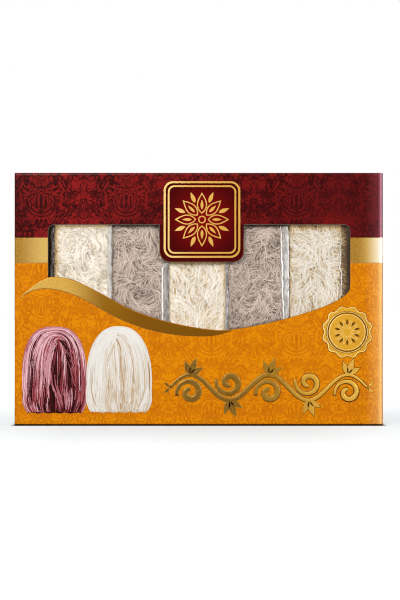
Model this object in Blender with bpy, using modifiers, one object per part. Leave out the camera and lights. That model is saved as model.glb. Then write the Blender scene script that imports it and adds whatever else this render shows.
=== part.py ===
"""A windowed gift carton of floss halva, standing upright on its long side.

The carton is folded board, hollow, with a window cut through its front panel. A tab of the
board hangs into the window from above, and the window's lower edge is a long wave. Behind the
window stand five clear pouches, packed with floss halva in two flavours.

Metres, +Z up. The front panel faces -Y and +X is to the right as seen from the front. The
origin is at the middle of the carton's underside.
"""
import math

import bmesh
import bpy
from mathutils import Matrix, Vector
from mathutils.geometry import interpolate_bezier

MM = 0.001

# Carton
BOX_WIDTH = 260 * MM
BOX_DEPTH = 40 * MM
BOX_HEIGHT = 178.5 * MM
BOARD = 0.6 * MM
FOLD_RADIUS = 1.8 * MM
FOLD_SEGMENTS = 4
END_FOLD_SHARE = 0.4

# Window in the front panel
WINDOW_LEFT = -106.4 * MM
WINDOW_RIGHT = 106.9 * MM
WINDOW_TOP = 142 * MM
WINDOW_RADIUS = 4.5 * MM
CORNER_STEPS = 6
WAVE_STEPS = 14

# Tab that hangs into the window
TAB_CENTRE = 2.1 * MM
TAB_WIDTH = 59.3 * MM
TAB_DROP = 26.5 * MM
TAB_RADIUS = 7.5 * MM

# Wave along the window's foot: crest at the left, trough right of the middle
FOOT_LEFT_HEIGHT = 104.3 * MM
CREST = Vector((-102.8 * MM, 104.7 * MM))
FLANK = Vector((-55.5 * MM, 85.6 * MM))
FLANK_SLOPE = -0.55
TROUGH = Vector((15.3 * MM, 67.1 * MM))
RISE = Vector((100 * MM, 89.4 * MM))
RISE_SLOPE = 0.72
FOOT_RIGHT = Vector((WINDOW_RIGHT, 98.3 * MM))

# End closures: a tucked end panel at each side, its edges and a thumb notch
SEAM_WIDTH = 0.4 * MM
SEAM_DEPTH = 0.3 * MM
SEAM_INSET = 2.2 * MM
NOTCH_RADIUS = 9 * MM
NOTCH_SIDES = 32

# Pouches
GAP = 0.4 * MM
POUCH_HEIGHT = 172 * MM
POUCH_FRONT = -17.3 * MM
POUCH_BACK = 18.9 * MM
CRIMP_HEIGHT = 7 * MM
CRIMP_THICKNESS = 1.2 * MM
SHOULDER_HEIGHT = 13 * MM
BODY_RINGS = 8
COLUMN_CUTS = (-0.9, -0.35, 0.35, 0.9)
ROW_CUTS = (-0.75, 0.75)
CORNER_PULL = 0.07
LUMP_SIZE = 13 * MM
LUMP_DEPTH = 1.4 * MM
SIDE_LUMPS = 0.2

# Each pouch's left and right side, and its flavour
POUCHES = (
    (-102.5 * MM, -61.9 * MM, "plain"),
    (-61.5 * MM, -21.7 * MM, "cocoa"),
    (-21.3 * MM, 19.6 * MM, "plain"),
    (20.3 * MM, 63.0 * MM, "cocoa"),
    (63.7 * MM, 105.3 * MM, "plain"),
)

# Colours from the object, linear RGB
BOARD_COLOUR = (0.70, 0.21, 0.004)
FLAVOUR_COLOURS = {
    "plain": (0.82, 0.73, 0.60),
    "cocoa": (0.47, 0.38, 0.32),
}


def clear_scene():
    for obj in list(bpy.data.objects):
        bpy.data.objects.remove(obj, do_unlink=True)


def new_collection(name):
    collection = bpy.data.collections.new(name)
    bpy.context.scene.collection.children.link(collection)
    return collection


def make_material(name, colour, roughness, coat=0.0):
    material = bpy.data.materials.new(name)
    material.use_nodes = True
    shader = material.node_tree.nodes["Principled BSDF"]
    shader.inputs["Base Color"].default_value = (*colour, 1.0)
    shader.inputs["Roughness"].default_value = roughness
    shader.inputs["Metallic"].default_value = 0.0
    shader.inputs["Coat Weight"].default_value = coat
    return material


def link_mesh(name, mesh, collection):
    obj = bpy.data.objects.new(name, mesh)
    collection.objects.link(obj)
    return obj


def add_block(name, low, high, collection):
    """A box between two corners."""
    low = Vector(low)
    high = Vector(high)
    mesh = bpy.data.meshes.new(name)
    bm = bmesh.new()
    bmesh.ops.create_cube(bm, size=1.0)
    bmesh.ops.scale(bm, vec=high - low, verts=bm.verts)
    bm.to_mesh(mesh)
    bm.free()
    obj = link_mesh(name, mesh, collection)
    obj.location = (low + high) / 2
    return obj


def as_cutter(obj):
    obj.hide_render = True
    obj.display_type = "WIRE"
    return obj


def cut(target, cutter):
    boolean = target.modifiers.new("cut " + cutter.name, "BOOLEAN")
    boolean.operation = "DIFFERENCE"
    boolean.object = as_cutter(cutter)


def arc(centre, radius, start, end, steps):
    """Points of an arc in the front plane, angles in degrees from +X towards +Z."""
    points = []
    for i in range(steps + 1):
        angle = math.radians(start + (end - start) * i / steps)
        points.append(centre + radius * Vector((math.cos(angle), math.sin(angle))))
    return points


def bend(start, start_pull, end_pull, end, steps=WAVE_STEPS):
    """Points of a cubic curve, without its first one, which the outline already has."""
    curve = interpolate_bezier(start, start + start_pull, end - end_pull, end, steps + 1)
    return [Vector(point[:2]) for point in curve[1:]]


def along(slope, length):
    return Vector((1.0, slope)).normalized() * length


def window_foot():
    """The wave, left to right: crest, falling flank, trough, rise and the round corner."""
    start = Vector((WINDOW_LEFT, FOOT_LEFT_HEIGHT))
    points = [start]
    points += bend(start, along(0.3, 1.2 * MM), along(0, 1.2 * MM), CREST, 3)
    points += bend(CREST, along(0, 14.2 * MM), along(FLANK_SLOPE, 30 * MM), FLANK)
    points += bend(FLANK, along(FLANK_SLOPE, 27.4 * MM), along(0, 9.4 * MM), TROUGH)
    points += bend(TROUGH, along(0, 20.6 * MM), along(RISE_SLOPE, 14.1 * MM), RISE)
    corner_pull = Vector((0, 3.9 * MM))
    points += bend(RISE, along(RISE_SLOPE, 6.5 * MM), corner_pull, FOOT_RIGHT, CORNER_STEPS)
    return points


def window_outline():
    """The window anticlockwise from its lower left corner."""
    inset = WINDOW_RADIUS
    top = WINDOW_TOP - inset
    points = window_foot()
    points += arc(Vector((WINDOW_RIGHT - inset, top)), inset, 0, 90, CORNER_STEPS)
    tab_right = TAB_CENTRE + TAB_WIDTH / 2
    tab_left = TAB_CENTRE - TAB_WIDTH / 2
    tab_low = WINDOW_TOP - TAB_DROP + TAB_RADIUS
    points.append(Vector((tab_right, WINDOW_TOP)))
    points += arc(Vector((tab_right - TAB_RADIUS, tab_low)), TAB_RADIUS, 0, -90, CORNER_STEPS)
    points += arc(Vector((tab_left + TAB_RADIUS, tab_low)), TAB_RADIUS, -90, -180, CORNER_STEPS)
    points.append(Vector((tab_left, WINDOW_TOP)))
    points += arc(Vector((WINDOW_LEFT + inset, top)), inset, 90, 180, CORNER_STEPS)
    return points


def add_window_cutter(collection):
    """The window's outline as a flat curve, extruded through the front panel."""
    curve = bpy.data.curves.new("window outline", "CURVE")
    curve.dimensions = "2D"
    curve.fill_mode = "BOTH"
    curve.extrude = 3 * BOARD
    spline = curve.splines.new("POLY")
    outline = window_outline()
    spline.points.add(len(outline) - 1)
    for point, (x, z) in zip(spline.points, outline):
        point.co = (x, z, 0, 1)
    spline.use_cyclic_u = True
    outline_object = bpy.data.objects.new("window outline", curve)
    collection.objects.link(outline_object)
    outline_object.location = (0, -BOX_DEPTH / 2, 0)
    outline_object.rotation_euler = (math.pi / 2, 0, 0)
    bpy.context.view_layer.update()

    evaluated = outline_object.evaluated_get(bpy.context.evaluated_depsgraph_get())
    mesh = bpy.data.meshes.new_from_object(evaluated)
    bm = bmesh.new()
    bm.from_mesh(mesh)
    bmesh.ops.remove_doubles(bm, verts=bm.verts, dist=0.001 * MM)
    bmesh.ops.recalc_face_normals(bm, faces=bm.faces)
    bm.to_mesh(mesh)
    bm.free()
    cutter = link_mesh("window_cutter", mesh, collection)
    cutter.matrix_world = outline_object.matrix_world
    bpy.data.objects.remove(outline_object, do_unlink=True)
    return cutter


def end_seams(side, collection):
    """Slits round three sides of the end panel, which is folded on at the front."""
    end = side * BOX_WIDTH / 2
    near, far = sorted((end - side * SEAM_DEPTH, end + side * BOARD))
    half_depth = BOX_DEPTH / 2
    front = -half_depth + SEAM_INSET
    back = half_depth - SEAM_INSET
    name = "right" if side > 0 else "left"
    low = SEAM_INSET
    high = BOX_HEIGHT - SEAM_INSET
    spans = {
        "lower": ((front, low), (back, low + SEAM_WIDTH)),
        "upper": ((front, high - SEAM_WIDTH), (back, high)),
        "tuck": ((back - SEAM_WIDTH, low), (back, high)),
    }
    for place, ((y0, z0), (y1, z1)) in spans.items():
        yield add_block(f"{name}_{place}_slit", (near, y0, z0), (far, y1, z1), collection)


def thumb_notch(side, collection):
    """A half-round dip in the back panel, where a thumb lifts the tucked end."""
    mesh = bpy.data.meshes.new("thumb notch")
    bm = bmesh.new()
    bmesh.ops.create_cone(
        bm,
        cap_ends=True,
        segments=NOTCH_SIDES,
        radius1=NOTCH_RADIUS,
        radius2=NOTCH_RADIUS,
        depth=2 * SEAM_DEPTH,
        matrix=Matrix.Rotation(math.pi / 2, 4, "X"),
    )
    bm.to_mesh(mesh)
    bm.free()
    notch = link_mesh("right_notch" if side > 0 else "left_notch", mesh, collection)
    notch.location = (side * BOX_WIDTH / 2, BOX_DEPTH / 2, BOX_HEIGHT / 2)
    return notch


def fold_edges(block, radius):
    """Rounds the block's folds. The short edges, from front to back, are crisper."""
    bm = bmesh.new()
    bm.from_mesh(block.data)
    weight = bm.edges.layers.float.new("bevel_weight_edge")
    for edge in bm.edges:
        start, end = (vert.co for vert in edge.verts)
        is_short = abs(end.y - start.y) > BOX_DEPTH / 2
        edge[weight] = END_FOLD_SHARE if is_short else 1.0
    bm.to_mesh(block.data)
    bm.free()
    folds = block.modifiers.new("folds", "BEVEL")
    folds.width = radius
    folds.segments = FOLD_SEGMENTS
    folds.limit_method = "WEIGHT"


def add_carton(parts, cutters):
    low = Vector((-BOX_WIDTH / 2, -BOX_DEPTH / 2, 0))
    high = Vector((BOX_WIDTH / 2, BOX_DEPTH / 2, BOX_HEIGHT))
    carton = add_block("carton", low, high, parts)
    fold_edges(carton, FOLD_RADIUS)

    wall = Vector((BOARD, BOARD, BOARD))
    inside = add_block("inside_cutter", low + wall, high - wall, cutters)
    fold_edges(inside, FOLD_RADIUS - BOARD)
    cut(carton, inside)
    cut(carton, add_window_cutter(cutters))
    for side in (-1, 1):
        for slit in end_seams(side, cutters):
            cut(carton, slit)
        cut(carton, thumb_notch(side, cutters))
    carton.data.materials.append(make_material("printed board", BOARD_COLOUR, 0.38, 0.2))
    return carton


def pouch_rings():
    """Heights of the cage's rings, from the foot of one crimp to the top of the other."""
    body_low = CRIMP_HEIGHT + SHOULDER_HEIGHT
    body_high = POUCH_HEIGHT - body_low
    rings = [CRIMP_HEIGHT, CRIMP_HEIGHT + SHOULDER_HEIGHT * 0.35]
    for i in range(BODY_RINGS + 1):
        rings.append(body_low + (body_high - body_low) * i / BODY_RINGS)
    rings.append(POUCH_HEIGHT - rings[1])
    rings.append(POUCH_HEIGHT - CRIMP_HEIGHT)
    return rings


def depth_share(height):
    """How full the pouch is at a height: flat at the crimps, round over the shoulders."""
    from_end = min(height, POUCH_HEIGHT - height) - CRIMP_HEIGHT
    flat = CRIMP_THICKNESS / (POUCH_BACK - POUCH_FRONT)
    fill = min(max(from_end / SHOULDER_HEIGHT, 0.0), 1.0)
    return flat + (1.0 - flat) * math.sqrt(1.0 - (1.0 - fill) ** 2)


def shape_pouch(vert, half_width, half_depth):
    """Bends the straight cage to the pouch: soft corners, full body and flat ends."""
    across = vert.co.x / half_width
    through = vert.co.y / half_depth
    fill = depth_share(vert.co.z)
    pull = CORNER_PULL * fill
    vert.co.x *= math.sqrt(1.0 - pull * through ** 2)
    vert.co.y *= math.sqrt(1.0 - pull * across ** 2) * fill


def add_pouch(index, left, right, flavour, parts, lumps):
    half_width = (right - left) / 2
    half_depth = (POUCH_BACK - POUCH_FRONT) / 2
    mesh = bpy.data.meshes.new(f"pouch_{index}")
    bm = bmesh.new()
    bmesh.ops.create_cube(bm, size=1.0)
    bmesh.ops.scale(bm, vec=(2 * half_width, 2 * half_depth, POUCH_HEIGHT), verts=bm.verts)
    bmesh.ops.translate(bm, vec=(0, 0, POUCH_HEIGHT / 2), verts=bm.verts)
    planes = [((0, 0, height), (0, 0, 1)) for height in pouch_rings()]
    planes += [((share * half_width, 0, 0), (1, 0, 0)) for share in COLUMN_CUTS]
    planes += [((0, share * half_depth, 0), (0, 1, 0)) for share in ROW_CUTS]
    for place, normal in planes:
        everything = list(bm.verts) + list(bm.edges) + list(bm.faces)
        bmesh.ops.bisect_plane(bm, geom=everything, plane_co=place, plane_no=normal)
    for vert in bm.verts:
        shape_pouch(vert, half_width, half_depth)
    bm.to_mesh(mesh)
    bm.free()

    pouch = link_mesh(f"pouch_{index}", mesh, parts)
    pouch.location = ((left + right) / 2, (POUCH_FRONT + POUCH_BACK) / 2, BOARD + GAP)
    full = pouch.vertex_groups.new(name="full")
    for vert in mesh.vertices:
        on_side = abs(vert.co.x) > COLUMN_CUTS[-1] * half_width * 0.9
        if CRIMP_HEIGHT < vert.co.z < POUCH_HEIGHT - CRIMP_HEIGHT:
            full.add([vert.index], SIDE_LUMPS if on_side else 1.0, "REPLACE")
    smooth = pouch.modifiers.new("smooth", "SUBSURF")
    smooth.levels = 1
    smooth.render_levels = 1
    relief = pouch.modifiers.new("lumps", "DISPLACE")
    relief.texture = lumps
    relief.texture_coords = "GLOBAL"
    relief.strength = LUMP_DEPTH
    relief.mid_level = 1.0
    relief.vertex_group = full.name
    mesh.shade_smooth()
    colour = FLAVOUR_COLOURS[flavour]
    mesh.materials.append(make_material(f"film over {flavour} floss {index}", colour, 0.32, 0.3))
    return pouch


def main():
    clear_scene()
    parts = new_collection("floss halva carton")
    cutters = new_collection("cutters")
    add_carton(parts, cutters)

    lumps = bpy.data.textures.new("floss lumps", "CLOUDS")
    lumps.noise_scale = LUMP_SIZE
    lumps.noise_depth = 0
    for index, (left, right, flavour) in enumerate(POUCHES, start=1):
        add_pouch(index, left, right, flavour, parts, lumps)


main()
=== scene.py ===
# %% [markdown]
# # A carton of floss halva
#
# Floss halva is a sweet of fine, silky sugar and flour threads. Here five clear pouches of it
# stand side by side in a printed gift carton with a window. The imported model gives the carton
# and the pouches at their real size. This lesson dresses them: the print and its foil on the
# board, and real threads under clear film in place of each plain pouch.

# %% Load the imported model
import math

import bpy
import numpy as np
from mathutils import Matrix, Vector
from mathutils.bvhtree import BVHTree
from mathutils.geometry import interpolate_bezier


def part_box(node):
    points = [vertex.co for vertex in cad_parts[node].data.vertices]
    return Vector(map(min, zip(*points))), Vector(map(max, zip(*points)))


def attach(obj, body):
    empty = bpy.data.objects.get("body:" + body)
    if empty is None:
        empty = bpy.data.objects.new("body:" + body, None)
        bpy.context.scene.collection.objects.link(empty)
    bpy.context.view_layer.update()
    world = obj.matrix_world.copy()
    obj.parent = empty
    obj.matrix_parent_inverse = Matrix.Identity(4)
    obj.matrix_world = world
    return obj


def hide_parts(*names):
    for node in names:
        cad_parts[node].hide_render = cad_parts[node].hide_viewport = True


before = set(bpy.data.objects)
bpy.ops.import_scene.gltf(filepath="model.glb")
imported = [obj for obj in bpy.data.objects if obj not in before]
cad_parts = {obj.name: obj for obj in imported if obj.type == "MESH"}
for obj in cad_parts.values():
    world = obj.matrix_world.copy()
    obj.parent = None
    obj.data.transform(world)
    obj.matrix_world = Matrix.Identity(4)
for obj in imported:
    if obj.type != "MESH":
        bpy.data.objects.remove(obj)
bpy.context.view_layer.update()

MM = 0.001
BOX_LOW, BOX_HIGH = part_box("carton")
FRONT = BOX_LOW[1]
HEIGHT = BOX_HIGH[2]
HALF = (Vector(BOX_HIGH) - Vector(BOX_LOW)) / 2
MIDDLE = (Vector(BOX_HIGH) + Vector(BOX_LOW)) / 2
BODY = "root"
print("carton from", BOX_LOW, "to", BOX_HIGH)

# %% [markdown]
# ## The camera
#
# The photograph looks straight at the front, with hardly any perspective, so a long lens stands
# well back. Its distance follows from one measure: how many millimetres of the front panel a
# pixel covers.

# %% Camera
IMAGE_SIZE = (400, 600)
MM_PER_PIXEL = 0.705
PHOTO_MIDDLE = (198.7, 425.8)
LENS = 100
SENSOR = 36

view_height = IMAGE_SIZE[1] * MM_PER_PIXEL * MM
distance = view_height * LENS / SENSOR
aim_x = (IMAGE_SIZE[0] / 2 - PHOTO_MIDDLE[0]) * MM_PER_PIXEL * MM
aim_z = (PHOTO_MIDDLE[1] - IMAGE_SIZE[1] / 2) * MM_PER_PIXEL * MM
bpy.ops.object.camera_add(location=(aim_x, FRONT - distance, aim_z), rotation=(math.pi / 2, 0, 0))
camera = bpy.context.object
camera.data.lens = LENS
camera.data.sensor_width = SENSOR
camera.data.clip_start = 0.05
bpy.context.scene.camera = camera
bpy.context.scene.view_settings.view_transform = "Standard"
bpy.context.scene.cycles.filter_width = 1.1
print("camera stands", round(distance, 3), "m from the front panel")

# %% [markdown]
# ## Light and floor
#
# A catalogue picture has an even, white surround. The world is white to the eye. As a light it is
# dimmer, and dimmest behind the camera, so that the glossy dark print isn't veiled by white
# reflections. One large soft light from above and the left models the threads and a second one
# fills from the right. Two weak ones light the right end and the floor.

# %% World and lamps
WORLD_LIGHT = 0.5
LIGHT_BEHIND_CAMERA = 0.02
WHITE = (1, 1, 1, 1)
BLACK = (0, 0, 0, 1)
CARTON_MIDDLE = (0, 0, 0.09)
# Each lamp has a name, a place, an aim, a size in metres and a power in watts.
LAMPS = (
    ("key", (-0.6, -1.15, 0.85), CARTON_MIDDLE, 0.7, 25),
    ("fill", (0.85, -1.05, 0.45), CARTON_MIDDLE, 0.6, 12),
    ("edge", (0.9, 0.05, 0.25), (0.1, 0, 0.09), 0.4, 3),
    ("floor wash", (0, 0.1, 1.3), (0, 0, 0), 1.0, 2),
)


def soft_light(name, place, aim, size, power):
    """A square area light at a place, turned towards a point."""
    bpy.ops.object.light_add(type="AREA", location=place)
    light = bpy.context.object
    light.name = name
    light.data.size = size
    light.data.energy = power
    light.rotation_euler = (Vector(aim) - Vector(place)).to_track_quat("-Z", "Y").to_euler()
    return light


def studio_world():
    """White to the eye. Its light fades in the directions behind the camera."""
    world = bpy.data.worlds.new("studio")
    world.use_nodes = True
    tree = world.node_tree
    ray = tree.nodes.new("ShaderNodeLightPath")
    direction = tree.nodes.new("ShaderNodeTexCoord")
    split = tree.nodes.new("ShaderNodeSeparateXYZ")
    fade = tree.nodes.new("ShaderNodeMapRange")
    fade.interpolation_type = "SMOOTHSTEP"
    limits = (("From Min", -0.85), ("From Max", -0.35), ("To Min", LIGHT_BEHIND_CAMERA),
              ("To Max", WORLD_LIGHT))
    for socket, value in limits:
        fade.inputs[socket].default_value = value
    seen = tree.nodes.new("ShaderNodeBackground")
    lighting = tree.nodes["Background"]
    for background in (seen, lighting):
        background.inputs["Color"].default_value = WHITE
    either = tree.nodes.new("ShaderNodeMixShader")
    for source, target in (
        (direction.outputs["Generated"], split.inputs[0]),
        (split.outputs["Y"], fade.inputs["Value"]),
        (fade.outputs[0], lighting.inputs["Strength"]),
        (ray.outputs["Is Camera Ray"], either.inputs[0]),
        (lighting.outputs[0], either.inputs[1]),
        (seen.outputs[0], either.inputs[2]),
        (either.outputs[0], tree.nodes["World Output"].inputs["Surface"]),
    ):
        tree.links.new(source, target)
    return world


bpy.context.scene.world = studio_world()
for lamp in LAMPS:
    soft_light(*lamp)
print(len(LAMPS), "lamps placed")

# %% [markdown]
# ## A short way to write shader maths
#
# A node tree for a print has many Math nodes. The class below wraps a socket so that Python's
# own operators add them, and one method adds every other kind of node.

# %% Shader maths


class Val:
    """A number that varies over a surface. Its operators add Math nodes."""

    def __init__(self, paint, socket):
        self.paint = paint
        self.socket = socket

    def math(self, operation, *others):
        return self.paint.math(operation, self, *others)

    def __add__(self, other):
        return self.math("ADD", other)

    __radd__ = __add__

    def __mul__(self, other):
        return self.math("MULTIPLY", other)

    __rmul__ = __mul__

    def __sub__(self, other):
        return self.math("SUBTRACT", other)

    def __rsub__(self, other):
        return self.paint.math("SUBTRACT", other, self)

    def __truediv__(self, other):
        return self.math("DIVIDE", other)

    def __abs__(self):
        return self.math("ABSOLUTE")

    def __pow__(self, power):
        return self.math("POWER", power)


class Paint:
    """A material whose nodes are added one at a time. The Principled shader is there already."""

    def __init__(self, name, **uniform):
        self.material = bpy.data.materials.new(name)
        self.material.use_nodes = True
        self.tree = self.material.node_tree
        self.shader = self.tree.nodes["Principled BSDF"]
        for name, value in uniform.items():
            self.shader.inputs[name.replace("_", " ").replace("Ior", "IOR")].default_value = value

    def add(self, kind, settings=None, sockets=None):
        """Any node: its type, its settings and then its sockets, by name or number."""
        node = self.tree.nodes.new("ShaderNode" + kind)
        for name, value in (settings or {}).items():
            setattr(node, name, value)
        for key, value in (sockets or {}).items():
            self.feed(node.inputs[key], value)
        return node

    def feed(self, socket, value):
        value = value.socket if isinstance(value, Val) else value
        if isinstance(value, bpy.types.NodeSocket):
            self.tree.links.new(value, socket)
        else:
            socket.default_value = value

    def math(self, operation, *values):
        node = self.add("Math", {"operation": operation}, dict(enumerate(values)))
        return Val(self, node.outputs[0])

    def most(self, a, b):
        return self.math("MAXIMUM", a, b)

    def least(self, a, b):
        return self.math("MINIMUM", a, b)

    def ramp(self, value, low, high, start=0.0, end=1.0):
        """A soft step: start below low, end above high."""
        node = self.add(
            "MapRange",
            {"interpolation_type": "SMOOTHSTEP"},
            {"Value": value, "From Min": low, "From Max": high, "To Min": start, "To Max": end},
        )
        return Val(self, node.outputs[0])

    def xyz(self, vector):
        node = self.add("SeparateXYZ", None, {0: vector})
        return [Val(self, socket) for socket in node.outputs]

    def vector(self, x=0.0, y=0.0, z=0.0):
        return self.add("CombineXYZ", None, {0: x, 1: y, 2: z}).outputs[0]

    def place(self):
        """Object coordinates, in metres in the carton's own frame."""
        return self.add("TexCoord").outputs["Object"]

    def attribute(self, name):
        return Val(self, self.add("Attribute", {"attribute_name": name}).outputs["Fac"])

    def noise(self, vector, scale, detail=2.0, roughness=0.5, distortion=0.0):
        node = self.add(
            "TexNoise",
            None,
            {"Vector": vector, "Scale": scale, "Detail": detail, "Roughness": roughness,
             "Distortion": distortion},
        )
        return Val(self, node.outputs["Fac"])

    def blend(self, share, first, second):
        """A colour between two, each a colour or a link."""
        node = self.add("Mix", {"data_type": "RGBA"}, {0: share, 6: first, 7: second})
        return node.outputs[2]

    def run(self, value, colours, steps):
        """A run of colours. Each after the first comes in over a step of the value, low to high."""
        base = colours[0]
        for shade, (low, high) in zip(colours[1:], steps):
            base = self.blend(self.ramp(value, low, high), base, shade)
        return base

    def bump(self, height, distance, strength=1.0):
        node = self.add("Bump", None, {"Strength": strength, "Distance": distance, "Height": height})
        return node.outputs["Normal"]

    def see_through(self, share):
        """Lets light through the surface: share 0 is clear, 1 is solid."""
        clear = self.add("BsdfTransparent")
        mix = self.add("MixShader", None, {0: share, 1: clear.outputs[0], 2: self.shader.outputs[0]})
        self.feed(self.tree.nodes["Material Output"].inputs["Surface"], mix.outputs[0])

    def put(self, **sockets):
        for name, value in sockets.items():
            self.feed(self.shader.inputs[name.replace("_", " ")], value)


def colour(red, green, blue):
    """A screen colour, 0 to 255, as the linear colour a shader takes."""
    parts = []
    for part in (red, green, blue):
        share = part / 255
        parts.append(share / 12.92 if share <= 0.04045 else ((share + 0.055) / 1.055) ** 2.4)
    return (*parts, 1.0)


def colours(*rows):
    return [colour(*row) for row in rows]


print("shader maths ready")

# %% [markdown]
# ## The floor
#
# The floor is white paper. Close to the carton it shows the soft shade under the board: the
# lamps cast it, and a glow that is lower there paints it too, with a painted dark line right at
# the foot. Further off it glows to the eye until it meets the white world. To everything but the
# eye it is a dark grey, so that it doesn't lie on the varnish as a veil.

# %% Floor
FLOOR_SIZE = 12
FLOOR_SEEN = (0.2, 0.2, 0.2, 1)
FLOOR_MIRRORED = (0.12, 0.12, 0.12, 1)
FLOOR_GLOW = (1, 1.05, 1.06, 1)
# Where the painted shadow line at the carton's foot ends.
FOOT_LINE = (0.001, 0.003)

bpy.ops.mesh.primitive_grid_add(x_subdivisions=4, y_subdivisions=4, size=FLOOR_SIZE, location=(0, 0, 0))
floor = bpy.context.object
floor.name = "floor"
paper = Paint("white floor", Roughness=0.6, Specular_Ior_Level=0.05, Emission_Strength=1.0)
floor_x, floor_y, _ = paper.xyz(paper.place())
beside = paper.most(abs(floor_x) - HALF[0], 0.0)
before = paper.most(abs(floor_y) - HALF[1], 0.0)
away = paper.math("SQRT", beside * beside + before * before)
to_eye = Val(paper, paper.add("LightPath").outputs["Is Camera Ray"])
# The glow is lower close to the carton, painting the soft shade there, and higher beside its ends.
glow = paper.ramp(away, 0.0, 0.3, 0.54, 0.79) + paper.ramp(away, 0.25, 1.5, 0.0, 0.3)
glow = glow + paper.ramp(abs(floor_x), 0.06, 0.15, 0.0, 0.1)
# Painted shadow: a thin dark line along the carton's foot.
glow = glow * paper.most(paper.ramp(before, *FOOT_LINE, 0.04, 1.0), paper.ramp(beside, 0.0, 0.004))
paper.put(
    Base_Color=paper.blend(to_eye, FLOOR_MIRRORED, FLOOR_SEEN),
    Emission_Color=paper.blend(to_eye * glow, BLACK, FLOOR_GLOW),
)
floor.data.materials.append(paper.material)
print("floor laid")

# %% [markdown]
# ## The damask
#
# The print has a tone-on-tone damask, the traditional woven ornament. It mirrors about upright
# axes and repeats along them. Flowers and buds are nested outlines: lines where a distance,
# divided by the flower's own radius at that angle, passes a whole step. A scalloped vine winds
# between the axes. The ground is filled with foliage, which is the contour lines of a noise that
# is mirrored and repeated in the same way, and with soft dark blots of a second such noise.

# %% Damask motifs
COLUMN = 30.0
REPEAT = 97.8
FLOWER_X = 68.9
FLOWER_Z = 59.7
VINE_X = 15.0
VINE_SWING = 5.5
LINE = 0.85
LOBE_DEPTH = 0.3
# Each motif: whether on the far axis, how much narrowed, its height (none where the repeats
# meet), radius, lobes and rings.
MOTIFS = (
    (False, 1.0, 0.0, 10.5, 9, 4.0),
    (False, 1.8, 24.0, 8.5, 2, 3.0),
    (False, 1.0, None, 8.5, 7, 3.0),
    (True, 1.7, -6.0, 8.5, 2, 3.0),
    (True, 1.0, 31.0, 8.5, 7, 3.0),
    (True, 1.0, -34.0, 6.0, 5, 2.0),
)


def polar(paint, x, y):
    """Distance from a motif's middle and the angle from its upright axis."""
    return paint.math("SQRT", x * x + y * y), paint.math("ARCTAN2", x, y)


def contour(paint, value):
    """A soft line where a value in millimetres passes zero."""
    return paint.ramp(abs(value), LINE * 0.3, LINE, 1.0, 0.0)


def flower(paint, x, y, radius, lobes, rings):
    """Nested outlines, lobed above and round below, with upright petals inside."""
    reach, angle = polar(paint, x, y)
    wave = abs(paint.math("COSINE", angle * (lobes / 2)))
    upward = paint.ramp(y, -0.6 * radius, 0.3 * radius)
    edge = radius * (1.0 - LOBE_DEPTH * (1 - wave) * upward)
    level = reach / edge
    gap = paint.math("PINGPONG", level * rings + 0.5, 0.5)
    line = contour(paint, (0.5 - gap) * (radius / rings))
    petals = contour(paint, paint.math("PINGPONG", x * (1 + 0.04 * y), 1.5) - 0.2)
    inside = paint.ramp(level, 0.5, 0.6, 1.0, 0.0)
    line = paint.most(line * (1 - inside), petals * inside)
    return line * paint.ramp(level, 1.0, 1.06, 1.0, 0.0), paint.ramp(level, 1.0, 1.15, 1.0, 0.0)


def damask(paint, u, v):
    """How dark the ornament is at a point of the unfolded carton, u and v in millimetres."""
    x = paint.math("PINGPONG", u - FLOWER_X + 20 * COLUMN, COLUMN)
    y = paint.math("WRAP", v - FLOWER_Z, -REPEAT / 2, REPEAT / 2)
    phase = y * (2 * math.pi / REPEAT)
    ring = REPEAT / (2 * math.pi)
    ground = paint.vector(x, paint.math("COSINE", phase) * ring, paint.math("SINE", phase) * ring)
    sway = paint.noise(ground, 0.14, 1.0) - 0.5
    x = x + sway * 2.4
    y = y + sway * 3.0
    motifs = []
    for is_far, narrowed, middle, *form in MOTIFS:
        across = (COLUMN - x if is_far else x) * narrowed
        up = abs(y) - REPEAT / 2 if middle is None else y - middle
        motifs.append(flower(paint, across, up, *form))
    vine = x - VINE_X - VINE_SWING * paint.math("COSINE", phase * 2)
    scallop = abs(paint.math("SINE", y * 0.62 + x * 0.3)) * 1.8
    lines = paint.most(contour(paint, vine), contour(paint, abs(vine) - 1.6 - scallop))
    covered = motifs[0][1]
    for line, cover in motifs:
        lines = paint.most(lines * (1 - cover), line)
        covered = paint.most(covered, cover)
    foliage = paint.noise(ground, 0.12, 0.0, 0.5, 1.4)
    leaf = paint.math("PINGPONG", foliage * 4.0, 0.5)
    leaf = paint.ramp(leaf, 0.06, 0.24, 0.8, 0.0) * (1 - covered)
    fill = paint.ramp(paint.noise(ground, 0.17, 1.0, 0.6, 0.8), 0.5, 0.58, 0.0, 0.55)
    fade = paint.ramp(paint.noise(paint.vector(u, v), 0.5, 2.0), 0.3, 0.6, 0.5, 1.0)
    return paint.most(paint.most(lines * 0.8, leaf), fill) * fade
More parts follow.
